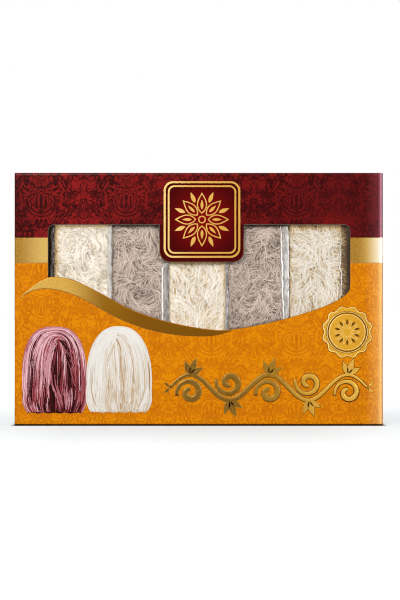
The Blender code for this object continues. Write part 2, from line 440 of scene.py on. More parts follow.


# %% [markdown]
# ## The printed board
#
# The carton is one sheet of board, printed on one side and varnished. The material finds out
# where it is: how deep under the outer skin tells printed face, raw cut edge and grey inside,
# and the height tells the burgundy top, the gold band and the orange foot. The pattern is laid
# out unfolded, so it runs on round the folds. A painted highlight lies along the right-hand
# fold as a pale line, with a soft painted glow beside it, and painted shade darkens the fold's
# very edge. Painted shade also darkens the red beside the left-hand fold and the last
# millimetre above the floor.

# %% Printed board
BURGUNDY = colour(126, 20, 18)
BURGUNDY_DARK = colour(46, 1, 2)
ORANGE = colour(200, 122, 0)
ORANGE_DARK = colour(156, 76, 0)
GOLD_DEEP = colour(158, 112, 34)
GOLD_PALE = colour(208, 170, 92)
# GOLD_WHITE is the colour of the band's painted highlight at the right fold.
GOLD_WHITE = colour(240, 226, 188)
CUT_EDGE = colour(176, 171, 164)
INSIDE = colour(110, 97, 83)
BAND_LOW = 114.9
BAND_HIGH = 132.6
FOLD_RADIUS = 1.8 * MM
# Painted highlight along the right-hand fold: where it peaks, how far it fades, the reach of its soft
# glow and its colours. FOLD_TURN is where painted shade darkens the fold's edge.
FOLD_HIGHLIGHT_PEAK = 1.6 * MM
FOLD_FADE = 5.5 * MM
FOLD_GLOW = 14 * MM
FOLD_TURN = (0.1 * MM, 0.9 * MM)
HIGHLIGHT_ORANGE = colour(255, 216, 140)
HIGHLIGHT_BURGUNDY = colour(214, 140, 160)
HIGHLIGHT_GOLD = colour(255, 250, 236)
HAIRLINE = colour(136, 110, 76)
# The colour of the painted shade at the carton's foot.
FOOT_SHADE = colour(36, 17, 3)
SOFT_STEP = 0.12
INNER_FACE = 0.45 * MM


def skin_depth(paint, parts, radius):
    """How deep a point lies under the outer skin of the carton, whose folds are round."""
    spread = []
    for value, middle, half in zip(parts, MIDDLE, HALF):
        spread.append(abs(value - middle) - (half - radius))
    outside = [paint.most(value, 0.0) for value in spread]
    squares = outside[0] * outside[0] + outside[1] * outside[1] + outside[2] * outside[2]
    inner = paint.least(paint.most(paint.most(spread[0], spread[1]), spread[2]), 0.0)
    return radius - paint.math("SQRT", squares) - inner


def burgundy_print(paint, x, tone, speck):
    """The red of the top. The damask is clearest on the left, where the ground is lightest. The
    ground's light left and darker right are a painted sheen and painted shade.
    """
    clear = paint.ramp(x, -HALF[0] * 0.75, -HALF[0] * 0.1, 1.0, 0.65)
    clear = clear * paint.ramp(x, HALF[0] * 0.3, HALF[0] * 0.8, 1.0, 0.5)
    cloud = paint.ramp(paint.noise(paint.place(), 15.0, 1.0), 0.35, 0.65)
    share = tone * clear * 1.12 + cloud * 0.25 + (1 - clear) * 0.52 + speck * 0.24
    return paint.blend(share, BURGUNDY, BURGUNDY_DARK)


def band_print(paint, x, speck):
    """The band's gold: pale on the left, deep towards the right, paler at the right end and nearly
    white at the fold, a painted highlight.
    """
    left_run = paint.ramp(x, -HALF[0], -HALF[0] * 0.82)
    left_run = left_run * paint.ramp(x, -0.1, 0.1, 0.96, 0.0)
    right_run = paint.ramp(x, HALF[0] * 0.85, HALF[0] * 0.96)
    share = left_run + right_run + paint.ramp(speck, 0.3, 0.7) * 0.3 - 0.05
    gold = paint.blend(share, GOLD_DEEP, GOLD_PALE)
    # Painted highlight: the gold turns nearly white towards the right fold.
    return paint.blend(paint.ramp(x, HALF[0] * 0.91, HALF[0]), gold, GOLD_WHITE)


def right_fold(paint, x, above, banded, printed):
    """The print with a painted highlight along the right fold and painted shade where it turns away,
    and how far it turns there.
    """
    on_right = paint.ramp(x, 0.0, 0.01)
    from_fold = HALF[0] - abs(x - MIDDLE[0])
    # Painted highlight: a pale line that peaks near the fold.
    fold_highlight = paint.most(1 - paint.most(from_fold - FOLD_HIGHLIGHT_PEAK, 0.0) / FOLD_FADE, 0.0) ** (above * 4 + 4)
    fold_highlight = fold_highlight * (above * 0.14 + banded * 0.4 + 0.36)
    # A soft painted glow beside the fold.
    fold_highlight = fold_highlight + paint.ramp(from_fold, 0.0, FOLD_GLOW, 1.0, 0.0) * (0.17 - above * 0.12)
    fold_highlight = fold_highlight * paint.ramp(from_fold, 0.2 * MM, FOLD_HIGHLIGHT_PEAK) * on_right
    pale = paint.blend(above, HIGHLIGHT_ORANGE, HIGHLIGHT_BURGUNDY)
    pale = paint.blend(banded, pale, HIGHLIGHT_GOLD)
    printed = paint.blend(fold_highlight, printed, pale)
    # Painted shade where the fold turns away, darkest at its very edge.
    turned = paint.ramp(from_fold, *FOLD_TURN, 0.6, 0.0) * on_right
    return paint.blend(turned, printed, paint.blend(above, ORANGE_DARK, BURGUNDY_DARK)), turned


def board_paint():
    paint = Paint("printed board", Specular_Ior_Level=0.14)
    parts = paint.xyz(paint.place())
    x, y, z = parts
    depth = skin_depth(paint, parts, FOLD_RADIUS)
    from_front = (y - FRONT) * 1000
    on_end = paint.ramp(abs(x), HALF[0] - 0.5 * MM, HALF[0] - 0.3 * MM)
    on_top = paint.ramp(z, HEIGHT - 0.5 * MM, HEIGHT - 0.3 * MM)
    on_foot = paint.ramp(z, 0.3 * MM, 0.5 * MM, 1.0, 0.0)
    u = x * 1000 + paint.math("SIGN", x) * from_front * on_end
    v = z * 1000 + from_front * (on_top - on_foot)
    tone = damask(paint, u, v)
    patch = paint.noise(paint.place(), 26.0, 2.0)
    speck = paint.noise(paint.place(), 900.0, 2.0)

    height = z * 1000
    in_band = paint.ramp(height, BAND_LOW - SOFT_STEP, BAND_LOW + SOFT_STEP)
    above = paint.ramp(height, BAND_HIGH - SOFT_STEP, BAND_HIGH + SOFT_STEP)
    banded = in_band * (1 - above)
    amber = paint.blend(tone * 0.75 + patch * 0.2, ORANGE, ORANGE_DARK)
    printed = paint.blend(in_band, amber, band_print(paint, x, speck))
    printed = paint.blend(above, printed, burgundy_print(paint, x, tone, speck))
    hairline = paint.ramp(abs(height - BAND_LOW), 0.15, 0.45, 0.55, 0.0)
    printed = paint.blend(hairline, printed, HAIRLINE)
    printed, turned = right_fold(paint, x, above, banded, printed)
    # Painted shade: the red darkens towards the left-hand fold.
    in_shade = paint.ramp(x, -HALF[0], 8 * MM - HALF[0], 0.5, 0.0) * above
    printed = paint.blend(in_shade, printed, BURGUNDY_DARK)
    # Painted shade: the last millimetre or so above the floor turns dark.
    printed = paint.blend(paint.ramp(z, 0.9 * MM, 1.7 * MM, 0.97, 0.0), printed, FOOT_SHADE)

    worn = paint.ramp(depth + speck * 0.0003, 0.1 * MM, 0.34 * MM)
    raw = paint.ramp(depth, 0.07 * MM, 0.11 * MM)
    hidden = paint.ramp(depth, INNER_FACE, INNER_FACE + 0.05 * MM)
    base = paint.blend(raw, printed, paint.blend(patch * 0.3, CUT_EDGE, INSIDE))
    base = paint.blend(hidden, base, paint.blend(worn * 0.2, INSIDE, CUT_EDGE))
    paint.put(
        Base_Color=base,
        Metallic=banded * (1 - raw) * 0.35,
        Roughness=0.26 + raw * 0.6 + patch * 0.06 * (1 - raw) + turned * 0.5,
        Normal=paint.bump(tone * 0.000004 + speck * 0.000003, 1.0),
    )
    return paint.material


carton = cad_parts["carton"]
carton.data.materials.clear()
carton.data.materials.append(board_paint())
print("carton printed")

# %% [markdown]
# ## Flat stamped pieces
#
# Foil and embossed fields lie a tenth to a third of a millimetre proud of the board. Each starts
# as a filled circle whose points are moved to an outline, is extruded back into the board and
# gets a small bevel. Outlines come from arcs and cubic curves.

# %% Modelling helpers
SINK = 0.05 * MM


def only(piece):
    bpy.ops.object.select_all(action="DESELECT")
    piece.select_set(True)
    bpy.context.view_layer.objects.active = piece


def edit(piece):
    """Into edit mode, with all points selected."""
    only(piece)
    bpy.ops.object.mode_set(mode="EDIT")
    bpy.ops.mesh.select_mode(type="VERT")
    bpy.ops.mesh.select_all(action="SELECT")


def done():
    bpy.ops.object.mode_set(mode="OBJECT")


def apply_all(piece):
    only(piece)
    for modifier in list(piece.modifiers):
        bpy.ops.object.modifier_apply(modifier=modifier.name)


def settle(piece, material):
    """Last steps of every piece: its material and its body."""
    piece.data.materials.clear()
    piece.data.materials.append(material)
    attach(piece, BODY)
    return piece


def plate(name, outline, rise, rim=0.04 * MM, ring=0.0):
    """A flat piece on the front panel, or a ring of a given width along the outline."""
    bpy.ops.mesh.primitive_circle_add(vertices=len(outline), fill_type="NGON")
    piece = bpy.context.object
    piece.name = name
    for vert, (x, z) in zip(piece.data.vertices, outline):
        vert.co = (x, FRONT - rise, z)
    edit(piece)
    if ring:
        bpy.ops.mesh.inset(thickness=ring, depth=0)
        bpy.ops.mesh.delete(type="FACE")
        bpy.ops.mesh.select_all(action="SELECT")
    bpy.ops.mesh.extrude_region_move(TRANSFORM_OT_translate={"value": (0, rise + SINK, 0)})
    bpy.ops.mesh.select_all(action="SELECT")
    bpy.ops.mesh.normals_make_consistent(inside=False)
    done()
    bevel = piece.modifiers.new("rim", "BEVEL")
    bevel.width = rim
    bevel.segments = 2
    bevel.limit_method = "ANGLE"
    bevel.angle_limit = math.radians(50)
    apply_all(piece)
    bpy.ops.object.shade_smooth_by_angle(angle=math.radians(20))
    return piece


def join(name, pieces):
    bpy.ops.object.select_all(action="DESELECT")
    for piece in pieces:
        piece.select_set(True)
    bpy.context.view_layer.objects.active = pieces[0]
    bpy.ops.object.join()
    pieces[0].name = name
    return pieces[0]


def bend(start, out, back, end, steps=16):
    """Points of a cubic curve in the front plane, without its first one."""
    knots = [Vector(start), Vector(start) + Vector(out), Vector(end) - Vector(back), Vector(end)]
    return [Vector(point[:2]) for point in interpolate_bezier(*knots, steps + 1)[1:]]


def mm_points(points):
    return [Vector(point) * MM for point in points]


def arc(centre, radius, start, end, steps=8):
    """Points of an arc, its angles in degrees."""
    turns = [math.radians(start + (end - start) * i / steps) for i in range(steps + 1)]
    return [Vector(centre) + radius * Vector((math.cos(turn), math.sin(turn))) for turn in turns]


def rounded_square(centre, size, radius):
    points = []
    reach = size / 2 - radius
    for turn, (across, up) in enumerate(((1, 1), (-1, 1), (-1, -1), (1, -1))):
        points += arc(Vector(centre) + reach * Vector((across, up)), radius, 90 * turn, 90 * turn + 90)
    return points


def wave_foot():
    """The window's lower edge from left to right, in millimetres."""
    points = [Vector((-106.4, 104.3))]
    points += bend(points[-1], (1.15, 0.35), (1.2, 0), (-102.8, 104.7), 3)
    points += bend(points[-1], (14.2, 0), (26.3, -14.46), (-55.5, 85.6))
    points += bend(points[-1], (24.0, -13.2), (9.4, 0), (15.3, 67.1))
    points += bend(points[-1], (20.6, 0), (11.47, 8.26), (100, 89.4))
    points += bend(points[-1], (5.28, 3.8), (0, 3.9), (106.9, 98.3), 6)
    return points


print("wave has", len(wave_foot()), "points")

# %% [markdown]
# ## Gold foil
#
# The gold is hot-stamped foil with a satin grain. Its shade shifts along the pack as in print,
# so each foil piece has a run of colours from left to right, a fine speckle and faint clouds.
# Pressed rims are pieces of their own with a brighter run, a painted highlight.

# %% Foil material
FOIL_METALLIC = 0.35
FOIL_ROUGHNESS = 0.3


def foil_paint(name, stops):
    """Gold with a run of colours along X. A stop is a place in millimetres, red, green and blue."""
    paint = Paint(name, Specular_Ior_Level=0.15)
    x, y, z = paint.xyz(paint.place())
    grain = paint.ramp(paint.noise(paint.place(), 1300.0, 2.0), 0.3, 0.7)
    cloud = paint.noise(paint.vector(x * 60, y, z * 90), 1.0, 2.0)
    shades = colours(*(stop[1:] for stop in stops))
    places = [stop[0] for stop in stops]
    base = paint.run(x * 1000, shades, zip(places, places[1:]))
    base = paint.blend(grain * 0.3 + cloud * 0.2, base, tuple(0.66 * part for part in shades[-1]))
    paint.put(
        Base_Color=base,
        Metallic=FOIL_METALLIC,
        Roughness=grain * 0.08 + FOIL_ROUGHNESS,
        Normal=paint.bump(grain * 0.6 + cloud, 0.00002, 0.3),
    )
    return paint.material


print("foil material ready")

# %% [markdown]
# ## The swoosh
#
# A gold ribbon runs along the window's wave. Its upper edge is the wave itself, carried on to a
# pointed tip at the left. Its lower edge is a second, flatter wave, so the ribbon is widest on
# the falling flank and runs out to nothing past the trough. A second plate, barely raised,
# reaches a little lower and shows as its dark underline.

# %% Swoosh
SWOOSH_TIP = (-127.0, 88.6)
UNDERLINE = 0.4
swoosh_top = [Vector(SWOOSH_TIP)] + bend(SWOOSH_TIP, (5.5, 7.4), (6.5, 2.0), (-106.4, 104.15), 10)
swoosh_top += [point - Vector((0, 0.15)) for point in wave_foot()[1:] if point[0] < 29]
swoosh_low = bend(SWOOSH_TIP, (5.0, 6.2), (7.5, 0), (-108.0, 97.0), 10)
swoosh_low += bend((-108.0, 97.0), (17.0, 0), (10.5, -5.9), (-63.8, 79.8))
swoosh_low += bend((-63.8, 79.8), (19.5, -11.0), (23.0, 0), (1.5, 63.4))
swoosh_low += bend((1.5, 63.4), (11.0, 0), (8.0, 2.6), swoosh_top[-1], 10)[:-1]
swoosh = plate("swoosh", mm_points(swoosh_top + swoosh_low[::-1]), 0.1 * MM)
lowered = [point - Vector((0, UNDERLINE)) for point in swoosh_low]
swoosh_line = plate("swoosh_line", mm_points(swoosh_top + lowered[::-1]), 0.04 * MM, 0.02 * MM)
LINE_RUN = ((-128, 134, 112, 74), (30, 120, 78, 16))
settle(swoosh_line, foil_paint("swoosh line", LINE_RUN))
SWOOSH_RUN = (
    (-128, 228, 184, 92), (-98, 224, 178, 84), (-62, 146, 98, 12),
    (-40, 128, 82, 6), (10, 122, 77, 4), (30, 134, 88, 10),
)
settle(swoosh, foil_paint("swoosh foil", SWOOSH_RUN))
print("swoosh:", len(swoosh.data.polygons), "faces")

# %% [markdown]
# ## The badge on the tab
#
# The tab of board in the window carries a dark field with two gold frames and a plain rosette.
# The rosette is one petal outline, turned eight times, with a slim leaf between every two.

# %% Badge
FRAME_MIDDLE = (2.3, 145.4)
FIELD_TOP = 172.1
FIELD_LEFT, FIELD_RIGHT = -24.4, 29.0
FIELD_TURN = 6.4
TAB_EDGE_LEFT, TAB_EDGE_RIGHT, TAB_EDGE_LOW = -27.4, 31.6, 115.6
TAB_TURN = 7.4
TAB_TOP = 142.0
PETAL_STEPS = 10


def badge_paint():
    paint = Paint("badge field", Specular_Ior_Level=0.06, Roughness=0.3)
    x, y, z = paint.xyz(paint.place())
    across = x * 1000 - FRAME_MIDDLE[0]
    up = z * 1000 - FRAME_MIDDLE[1]
    reach = paint.math("SQRT", across * across + up * up)
    weave = paint.noise(paint.place(), 1500.0, 2.0)
    middle = paint.blend(paint.ramp(reach, 4.0, 30.0), colour(116, 6, 5), colour(64, 2, 3))
    paint.put(
        Base_Color=paint.blend(weave * 0.3, middle, colour(40, 4, 4)),
        Normal=paint.bump(weave, 0.00002, 0.4),
    )
    return paint.material


def petal(centre, angle, start, length, width):
    """A pointed leaf outline, growing from a centre at an angle."""
    along = Vector((math.cos(angle), math.sin(angle)))
    across = Vector((-along.y, along.x))
    right, left = [], []
    for i in range(PETAL_STEPS + 1):
        share = i / PETAL_STEPS
        half = width / 2 * math.sin(math.pi * share ** 0.8)
        place = Vector(centre) + along * (start + length * share)
        right.append(place - across * half)
        if 0 < i < PETAL_STEPS:
            left.append(place + across * half)
    return right + left[::-1]


def ring_outline(centre, radius, steps=40):
    return arc(centre, radius, 0, 360, steps)[:-1]


def field_outline():
    """As wide as the frame on the panel, and as the whole tab where that hangs in the window."""
    points = [Vector((TAB_EDGE_RIGHT, TAB_TOP)), Vector((FIELD_RIGHT, TAB_TOP))]
    points += arc((FIELD_RIGHT - FIELD_TURN, FIELD_TOP - FIELD_TURN), FIELD_TURN, 0, 90)
    points += arc((FIELD_LEFT + FIELD_TURN, FIELD_TOP - FIELD_TURN), FIELD_TURN, 90, 180)
    points += [Vector((FIELD_LEFT, TAB_TOP)), Vector((TAB_EDGE_LEFT, TAB_TOP))]
    points += arc((TAB_EDGE_LEFT + TAB_TURN, TAB_EDGE_LOW + TAB_TURN), TAB_TURN, 180, 270)
    return points + arc((TAB_EDGE_RIGHT - TAB_TURN, TAB_EDGE_LOW + TAB_TURN), TAB_TURN, 270, 360)


badge = plate("badge_field", mm_points(field_outline()), 0.08 * MM)
settle(badge, badge_paint())

ornament = []
for size, radius, width in ((54.0, 6.7, 1.4), (48.2, 4.6, 1.2)):
    outline = mm_points(rounded_square(FRAME_MIDDLE, size, radius))
    ornament.append(plate("badge_frame", outline, 0.22 * MM, 0.08 * MM, ring=width * MM))
for i in range(8):
    angle = math.pi / 4 * i
    outer = mm_points(petal(FRAME_MIDDLE, angle, 4.0, 15.2, 7.2))
    ornament.append(plate("petal_rim", outer, 0.2 * MM, 0.06 * MM, ring=0.8 * MM))
    inner = mm_points(petal(FRAME_MIDDLE, angle, 7.2, 6.8, 2.0))
    ornament.append(plate("petal_heart", inner, 0.2 * MM, 0.06 * MM))
    between = mm_points(petal(FRAME_MIDDLE, angle + math.pi / 8, 12.8, 8.0, 2.8))
    ornament.append(plate("petal_between", between, 0.2 * MM, 0.06 * MM))
eye = mm_points(ring_outline(FRAME_MIDDLE, 2.7))
ornament.append(plate("rosette_eye", eye, 0.22 * MM, 0.08 * MM, ring=0.8 * MM))
badge_gold = join("badge_gold", ornament)
BADGE_RUN = ((-26, 248, 214, 134), (0, 222, 172, 84), (28, 212, 162, 72))
settle(badge_gold, foil_paint("badge foil", BADGE_RUN))
print("badge ornament:", len(badge_gold.data.polygons), "faces")

# %% [markdown]
# ## The seal
#
# A scalloped seal of embossed foil sits low on the right. Its outline is a circle whose radius
# waves twelve times. Stacked plates and narrow rings make the rim, the disc and the grooves, and
# a small plain rosette fills the middle. The rims' paler gold is a painted highlight, and the
# dark gold of the grooves and of the edge round the seal is a painted shade.

# %% Seal
SEAL_MIDDLE = (104.7, 66.0)
SEAL_RADIUS = 17.1
SEAL_TALLER = 1.04
SCALLOPS = 12
SCALLOP_DEPTH = 0.85
SCALLOP_POINTS = 12
SEAL_RAYS = 10


def seal_outline(radius):
    points = []
    for i in range(SCALLOPS * SCALLOP_POINTS):
        angle = 2 * math.pi * i / (SCALLOPS * SCALLOP_POINTS)
        reach = radius + SCALLOP_DEPTH * math.cos(SCALLOPS * angle + math.pi)
        way = Vector((math.cos(angle), math.sin(angle) * SEAL_TALLER))
        points.append(Vector(SEAL_MIDDLE) + reach * way)
    return points


def seal_petals(offset, start, length, width):
    """A ring of petals, turned by an offset in shares of the step between two."""
    turns = [2 * math.pi / SEAL_RAYS * (i + offset) for i in range(SEAL_RAYS)]
    return [petal(SEAL_MIDDLE, turn, start, length, width) for turn in turns]


def seal_stack(name, run, parts):
    """A stack of plates and rings of one gold: outline, rise and ring width."""
    pieces = [plate(name, mm_points(outline), rise * MM, 0.05 * MM, ring=ring * MM)
              for outline, rise, ring in parts]
    return settle(join(name, pieces), foil_paint(name + " foil", run))


SEAL_RUN = ((88, 226, 170, 56), (104, 222, 164, 46), (122, 212, 152, 42))
# Painted highlight on the rims, painted shade in the grooves and round the seal's edge.
RIM_RUN = ((88, 250, 220, 148), (104, 236, 188, 92), (122, 246, 212, 136))
GROOVE_RUN = ((88, 122, 76, 8), (122, 112, 68, 6))
seal = seal_stack("seal", SEAL_RUN, [
    (seal_outline(SEAL_RADIUS), 0.14, 0),
    (ring_outline(SEAL_MIDDLE, 12.6, 72), 0.22, 0),
])
seal_stack("seal_rims", RIM_RUN, [
    (seal_outline(SEAL_RADIUS - 0.15), 0.26, 0.6),
    (ring_outline(SEAL_MIDDLE, 14.5, 72), 0.26, 0.5),
    (ring_outline(SEAL_MIDDLE, 12.8, 72), 0.3, 0.45),
] + [(outline, 0.3, 0.4) for outline in seal_petals(0, 2.4, 6.6, 2.7)])
seal_stack("seal_grooves", GROOVE_RUN, [
    (seal_outline(SEAL_RADIUS + 0.35), 0.08, 0),
    (ring_outline(SEAL_MIDDLE, 14.0, 72), 0.18, 0.9),
    (ring_outline(SEAL_MIDDLE, 14.9, 72), 0.18, 0.4),
] + [(outline, 0.26, 0) for outline in seal_petals(0.5, 4.6, 5.0, 1.9)])
print("seal:", len(seal.data.polygons), "faces")

# %% [markdown]
# ## The gold scroll
#
# Where the print has its largest gold figure there is a plain scroll of leaves, an old ornament.
# A wavy stem carries a spiral tendril in each bend. Stem and tendrils are curves whose thickness
# varies. Each is made a mesh, pressed flat and laid on a wider one of another gold, which shows as
# its outline.

# %% Scroll
SCROLL_LEFT = -20.0
SCROLL_RIGHT = 119.0
SCROLL_HEIGHT = 27.0
SCROLL_SWING = 9.0
SCROLL_BENDS = 5
SCROLL_STEPS = 120
CURL_RADIUS = 9.6
CURL_TURNS = 1.3
CURL_STEPS = 44
CURL_START = math.pi * 0.92
CURL_EYE = 3.4
END_EYE = 3.0
OUTLINE_WIDTH = 0.45
FLATNESS = 0.12


def stroke(name, places, widths, grow, rise):
    """A raised line of gold on the front panel, through places in millimetres."""
    curve = bpy.data.curves.new(name, "CURVE")
    curve.dimensions = "3D"
    curve.bevel_depth = 1.0
    curve.bevel_resolution = 2
    curve.use_fill_caps = True
    spline = curve.splines.new("POLY")
    spline.points.add(len(places) - 1)
    for point, (x, z), width in zip(spline.points, places, widths):
        point.co = (x, 0, z, 1)
        point.radius = width / 2 + grow
    line = bpy.data.objects.new(name, curve)
    bpy.context.scene.collection.objects.link(line)
    only(line)
    bpy.ops.object.convert(target="MESH")
    piece = bpy.context.object
    for vert in piece.data.vertices:
        x, y, z = vert.co
        vert.co = (x * MM, FRONT - rise * MM + y * FLATNESS * MM, z * MM)
    edit(piece)
    bpy.ops.mesh.remove_doubles(threshold=0.001 * MM)
    bpy.ops.mesh.normals_make_consistent(inside=False)
    done()
    piece.data.shade_smooth()
    return piece


def stem_place(x):
    turn = (x - SCROLL_LEFT) / (SCROLL_RIGHT - SCROLL_LEFT) * SCROLL_BENDS * math.pi
    return Vector((x, SCROLL_HEIGHT + SCROLL_SWING * math.sin(turn)))


def tendril(middle, start, sign):
    """A spiral that winds inwards from a circle, in millimetres."""
    places = []
    for i in range(CURL_STEPS + 1):
        share = i / CURL_STEPS
        angle = start + sign * 2 * math.pi * CURL_TURNS * share
        reach = CURL_RADIUS * (1 - 0.8 * share ** 0.9)
        places.append(Vector(middle) + reach * Vector((math.cos(angle), math.sin(angle))))
    return places


strokes = []
stem, stem_width = [], []
for i in range(SCROLL_STEPS + 1):
    stem.append(stem_place(SCROLL_LEFT + (SCROLL_RIGHT - SCROLL_LEFT) * i / SCROLL_STEPS))
    stem_width.append(1.0 + 1.9 * math.sin(math.pi * i / SCROLL_STEPS) ** 0.5)
strokes.append((stem, stem_width))
BEND_LENGTH = (SCROLL_RIGHT - SCROLL_LEFT) / SCROLL_BENDS
leaves = []
for i in range(SCROLL_BENDS):
    up = 1 if i % 2 == 0 else -1
    centre_x = SCROLL_LEFT + BEND_LENGTH * (i + 0.5)
    centre = Vector((centre_x, SCROLL_HEIGHT - up * 3.4))
    curl = tendril(centre, -up * CURL_START, -up)
    widths = [1.2 + 2.6 * math.sin(math.pi * (j + 6) / 60) ** 1.5 for j in range(CURL_STEPS + 1)]
    strokes.append((curl, widths))
    strokes.append(([curl[-1], curl[-1] + Vector((0.02, 0.02))], [CURL_EYE, CURL_EYE]))
    top = stem_place(centre_x)
    for lean, length, width in ((1.15, 9.5, 3.8), (0.45, 11.5, 4.2), (-0.25, 9.5, 3.8)):
        leaves.append(petal(top, up * (math.pi / 2 - 0.35 + lean - 0.45), 0.4, length, width))
for end, sign in ((SCROLL_LEFT, 1), (SCROLL_RIGHT, -1)):
    place = stem_place(end)
    strokes.append(([place, place + Vector((0.02, 0))], [END_EYE, END_EYE]))
    for lean in (-0.7, 0.7):
        leaves.append(petal(place, (math.pi if sign > 0 else 0) + lean, 1.0, 4.6, 1.7))

SCROLL_RUN = (
    (-22, 88, 54, 4), (20, 102, 65, 8), (50, 142, 98, 20),
    (85, 212, 158, 54), (122, 226, 176, 74),
)
PALE_RUN = ((-22, 176, 140, 66), (50, 160, 120, 44), (122, 108, 64, 6))
for name, grow, rise, run in (
    ("scroll_outline", OUTLINE_WIDTH, 0.0, PALE_RUN),
    ("scroll", 0.0, 0.09, SCROLL_RUN),
):
    parts = [stroke(name, places, widths, grow, rise) for places, widths in strokes]
    for leaf in leaves:
        middle = sum(leaf, Vector((0, 0))) / len(leaf)
        spread = [middle + (place - middle) * (1 + grow * 0.42) for place in leaf]
        parts.append(plate(name, mm_points(spread), (0.1 + rise) * MM, 0.05 * MM))
    gold = join(name, parts)
    settle(gold, foil_paint(name + " foil", run))
    print(name, len(gold.data.polygons), "faces")

# %% [markdown]
# ## The window's cut edge
#
# The die leaves a thin pale edge of bare board round the window. It is a narrow ring along the
# window's outline, a third of a millimetre wide, and sits just under the printed face.

# %% Window edge
WINDOW_LEFT, WINDOW_RIGHT, WINDOW_TOP = -106.4, 106.9, 142.0
WINDOW_RADIUS = 4.5
TAB_LEFT, TAB_RIGHT, TAB_LOW, TAB_RADIUS = -27.55, 31.75, 115.5, 7.5
EDGE_WIDTH = 0.34
EDGE_SUNK = 0.12


def window_outline():
    inner_top = WINDOW_TOP - WINDOW_RADIUS
    tab_turn = TAB_LOW + TAB_RADIUS
    points = wave_foot()
    points += arc((WINDOW_RIGHT - WINDOW_RADIUS, inner_top), WINDOW_RADIUS, 0, 90)
    points.append(Vector((TAB_RIGHT, WINDOW_TOP)))
    points += arc((TAB_RIGHT - TAB_RADIUS, tab_turn), TAB_RADIUS, 0, -90)
    points += arc((TAB_LEFT + TAB_RADIUS, tab_turn), TAB_RADIUS, -90, -180)
    points.append(Vector((TAB_LEFT, WINDOW_TOP)))
    points += arc((WINDOW_LEFT + WINDOW_RADIUS, inner_top), WINDOW_RADIUS, 90, 180)
    return points


def edge_paint():
    paint = Paint("cut edge", Roughness=0.8, Specular_Ior_Level=0.15)
    x, _, z = paint.xyz(paint.place())
    fibre = paint.noise(paint.place(), 900.0, 3.0)
    shade = paint.blend(fibre, colour(50, 45, 40), colour(112, 105, 98))
    foot = paint.ramp(z + paint.ramp(x, 0.09, 0.1) * 0.007, 0.1047, 0.1055, 1.0, 0.0)
    shade = paint.blend(foot, shade, colour(138, 92, 26))
    paint.put(Base_Color=shade, Normal=paint.bump(fibre, 0.00005, 0.5))
    return paint.material


outline = mm_points(window_outline())
window_edge = plate("window_edge", outline, -EDGE_SUNK * MM, 0.03 * MM, ring=EDGE_WIDTH * MM)
settle(window_edge, edge_paint())
print("window edge:", len(window_edge.data.polygons), "faces")

# %% [markdown]
# ## A pouch's skin, unrolled
#
# Threads lie under a pouch's film and follow its bulges. Rays from the pouch's axis find its
# skin at every height and all round. The hits become a table, so that a way round from the
# front, a height and a depth give a place in space.

# %% Unrolled skins
SKIN_RAYS = 180
SKIN_ROWS = 110
SKIN_COLUMNS = 150
SKIN_REACH = 70.0
SKIN_END = 9.0
ROUND_POWER = 9.0
SQUARE_POWER = 26.0
BULGE_START = 5.0
BULGES = {5: 0.36}


class Skin:
    """The skin of one pouch, unrolled from its front middle. All sizes in millimetres."""

    def __init__(self, index):
        name = f"pouch_{index}"
        self.bulge = BULGES.get(index, 0.0)
        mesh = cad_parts[name].data
        corners = [vert.co.copy() for vert in mesh.vertices]
        tree = BVHTree.FromPolygons(corners, [tuple(face.vertices) for face in mesh.polygons])
        low, high = (Vector(corner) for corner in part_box(name))
        self.centre_x = (low.x + high.x) / 2 / MM
        self.half_width = (high.x - low.x) / 2 / MM
        self.centre_y = (low.y + high.y) / 2 / MM
        self.half_depth = (high.y - low.y) / 2 / MM
        self.low = low.z / MM + SKIN_END
        self.high = high.z / MM - SKIN_END
        ways = np.linspace(-SKIN_REACH, SKIN_REACH, SKIN_COLUMNS)
        rows = []
        for height in np.linspace(self.low, self.high, SKIN_ROWS):
            axis = Vector(((low.x + high.x) / 2, (low.y + high.y) / 2, height * MM))
            hits = []
            for i in range(SKIN_RAYS + 1):
                angle = -math.pi / 2 + 2 * math.pi * (i / SKIN_RAYS - 0.5)
                aim = Vector((math.cos(angle), math.sin(angle), 0))
                hits.append(tree.ray_cast(axis, aim)[0] / MM)
            hits = np.array(hits)
            run = np.concatenate([[0], np.cumsum(np.linalg.norm(np.diff(hits, axis=0), axis=1))])
            run -= run[SKIN_RAYS // 2]
            rows.append(np.stack([np.interp(ways, run, hits[:, axis]) for axis in range(3)], axis=1))
        self.points = np.array(rows)
        across = np.gradient(self.points, axis=1)
        up = np.gradient(self.points, axis=0)
        normals = np.cross(across, up)
        self.normals = normals / np.maximum(np.linalg.norm(normals, axis=2, keepdims=True), 1e-9)

    def look_up(self, table, way, height):
        column = np.clip((way / SKIN_REACH + 1) / 2, 0, 0.9999) * (SKIN_COLUMNS - 1)
        row = np.clip((height - self.low) / (self.high - self.low), 0, 0.9999) * (SKIN_ROWS - 1)
        j, i = column.astype(int), row.astype(int)
        b, a = (column - j)[..., None], (row - i)[..., None]
        upper = table[i + 1, j] * (1 - b) + table[i + 1, j + 1] * b
        lower = table[i, j] * (1 - b) + table[i, j + 1] * b
        return upper * a + lower * (1 - a)

    def at(self, way, height, depth):
        """Places a depth under the skin, and the skin's outward normals there."""
        normal = self.look_up(self.normals, way, height)
        return self.look_up(self.points, way, height) - normal * depth[..., None], normal


skins = {i: Skin(i) for i in range(1, 6)}
print("front of pouch 1 at", skins[1].at(np.zeros(1), np.full(1, 110.0), np.zeros(1))[0][0].round(2))

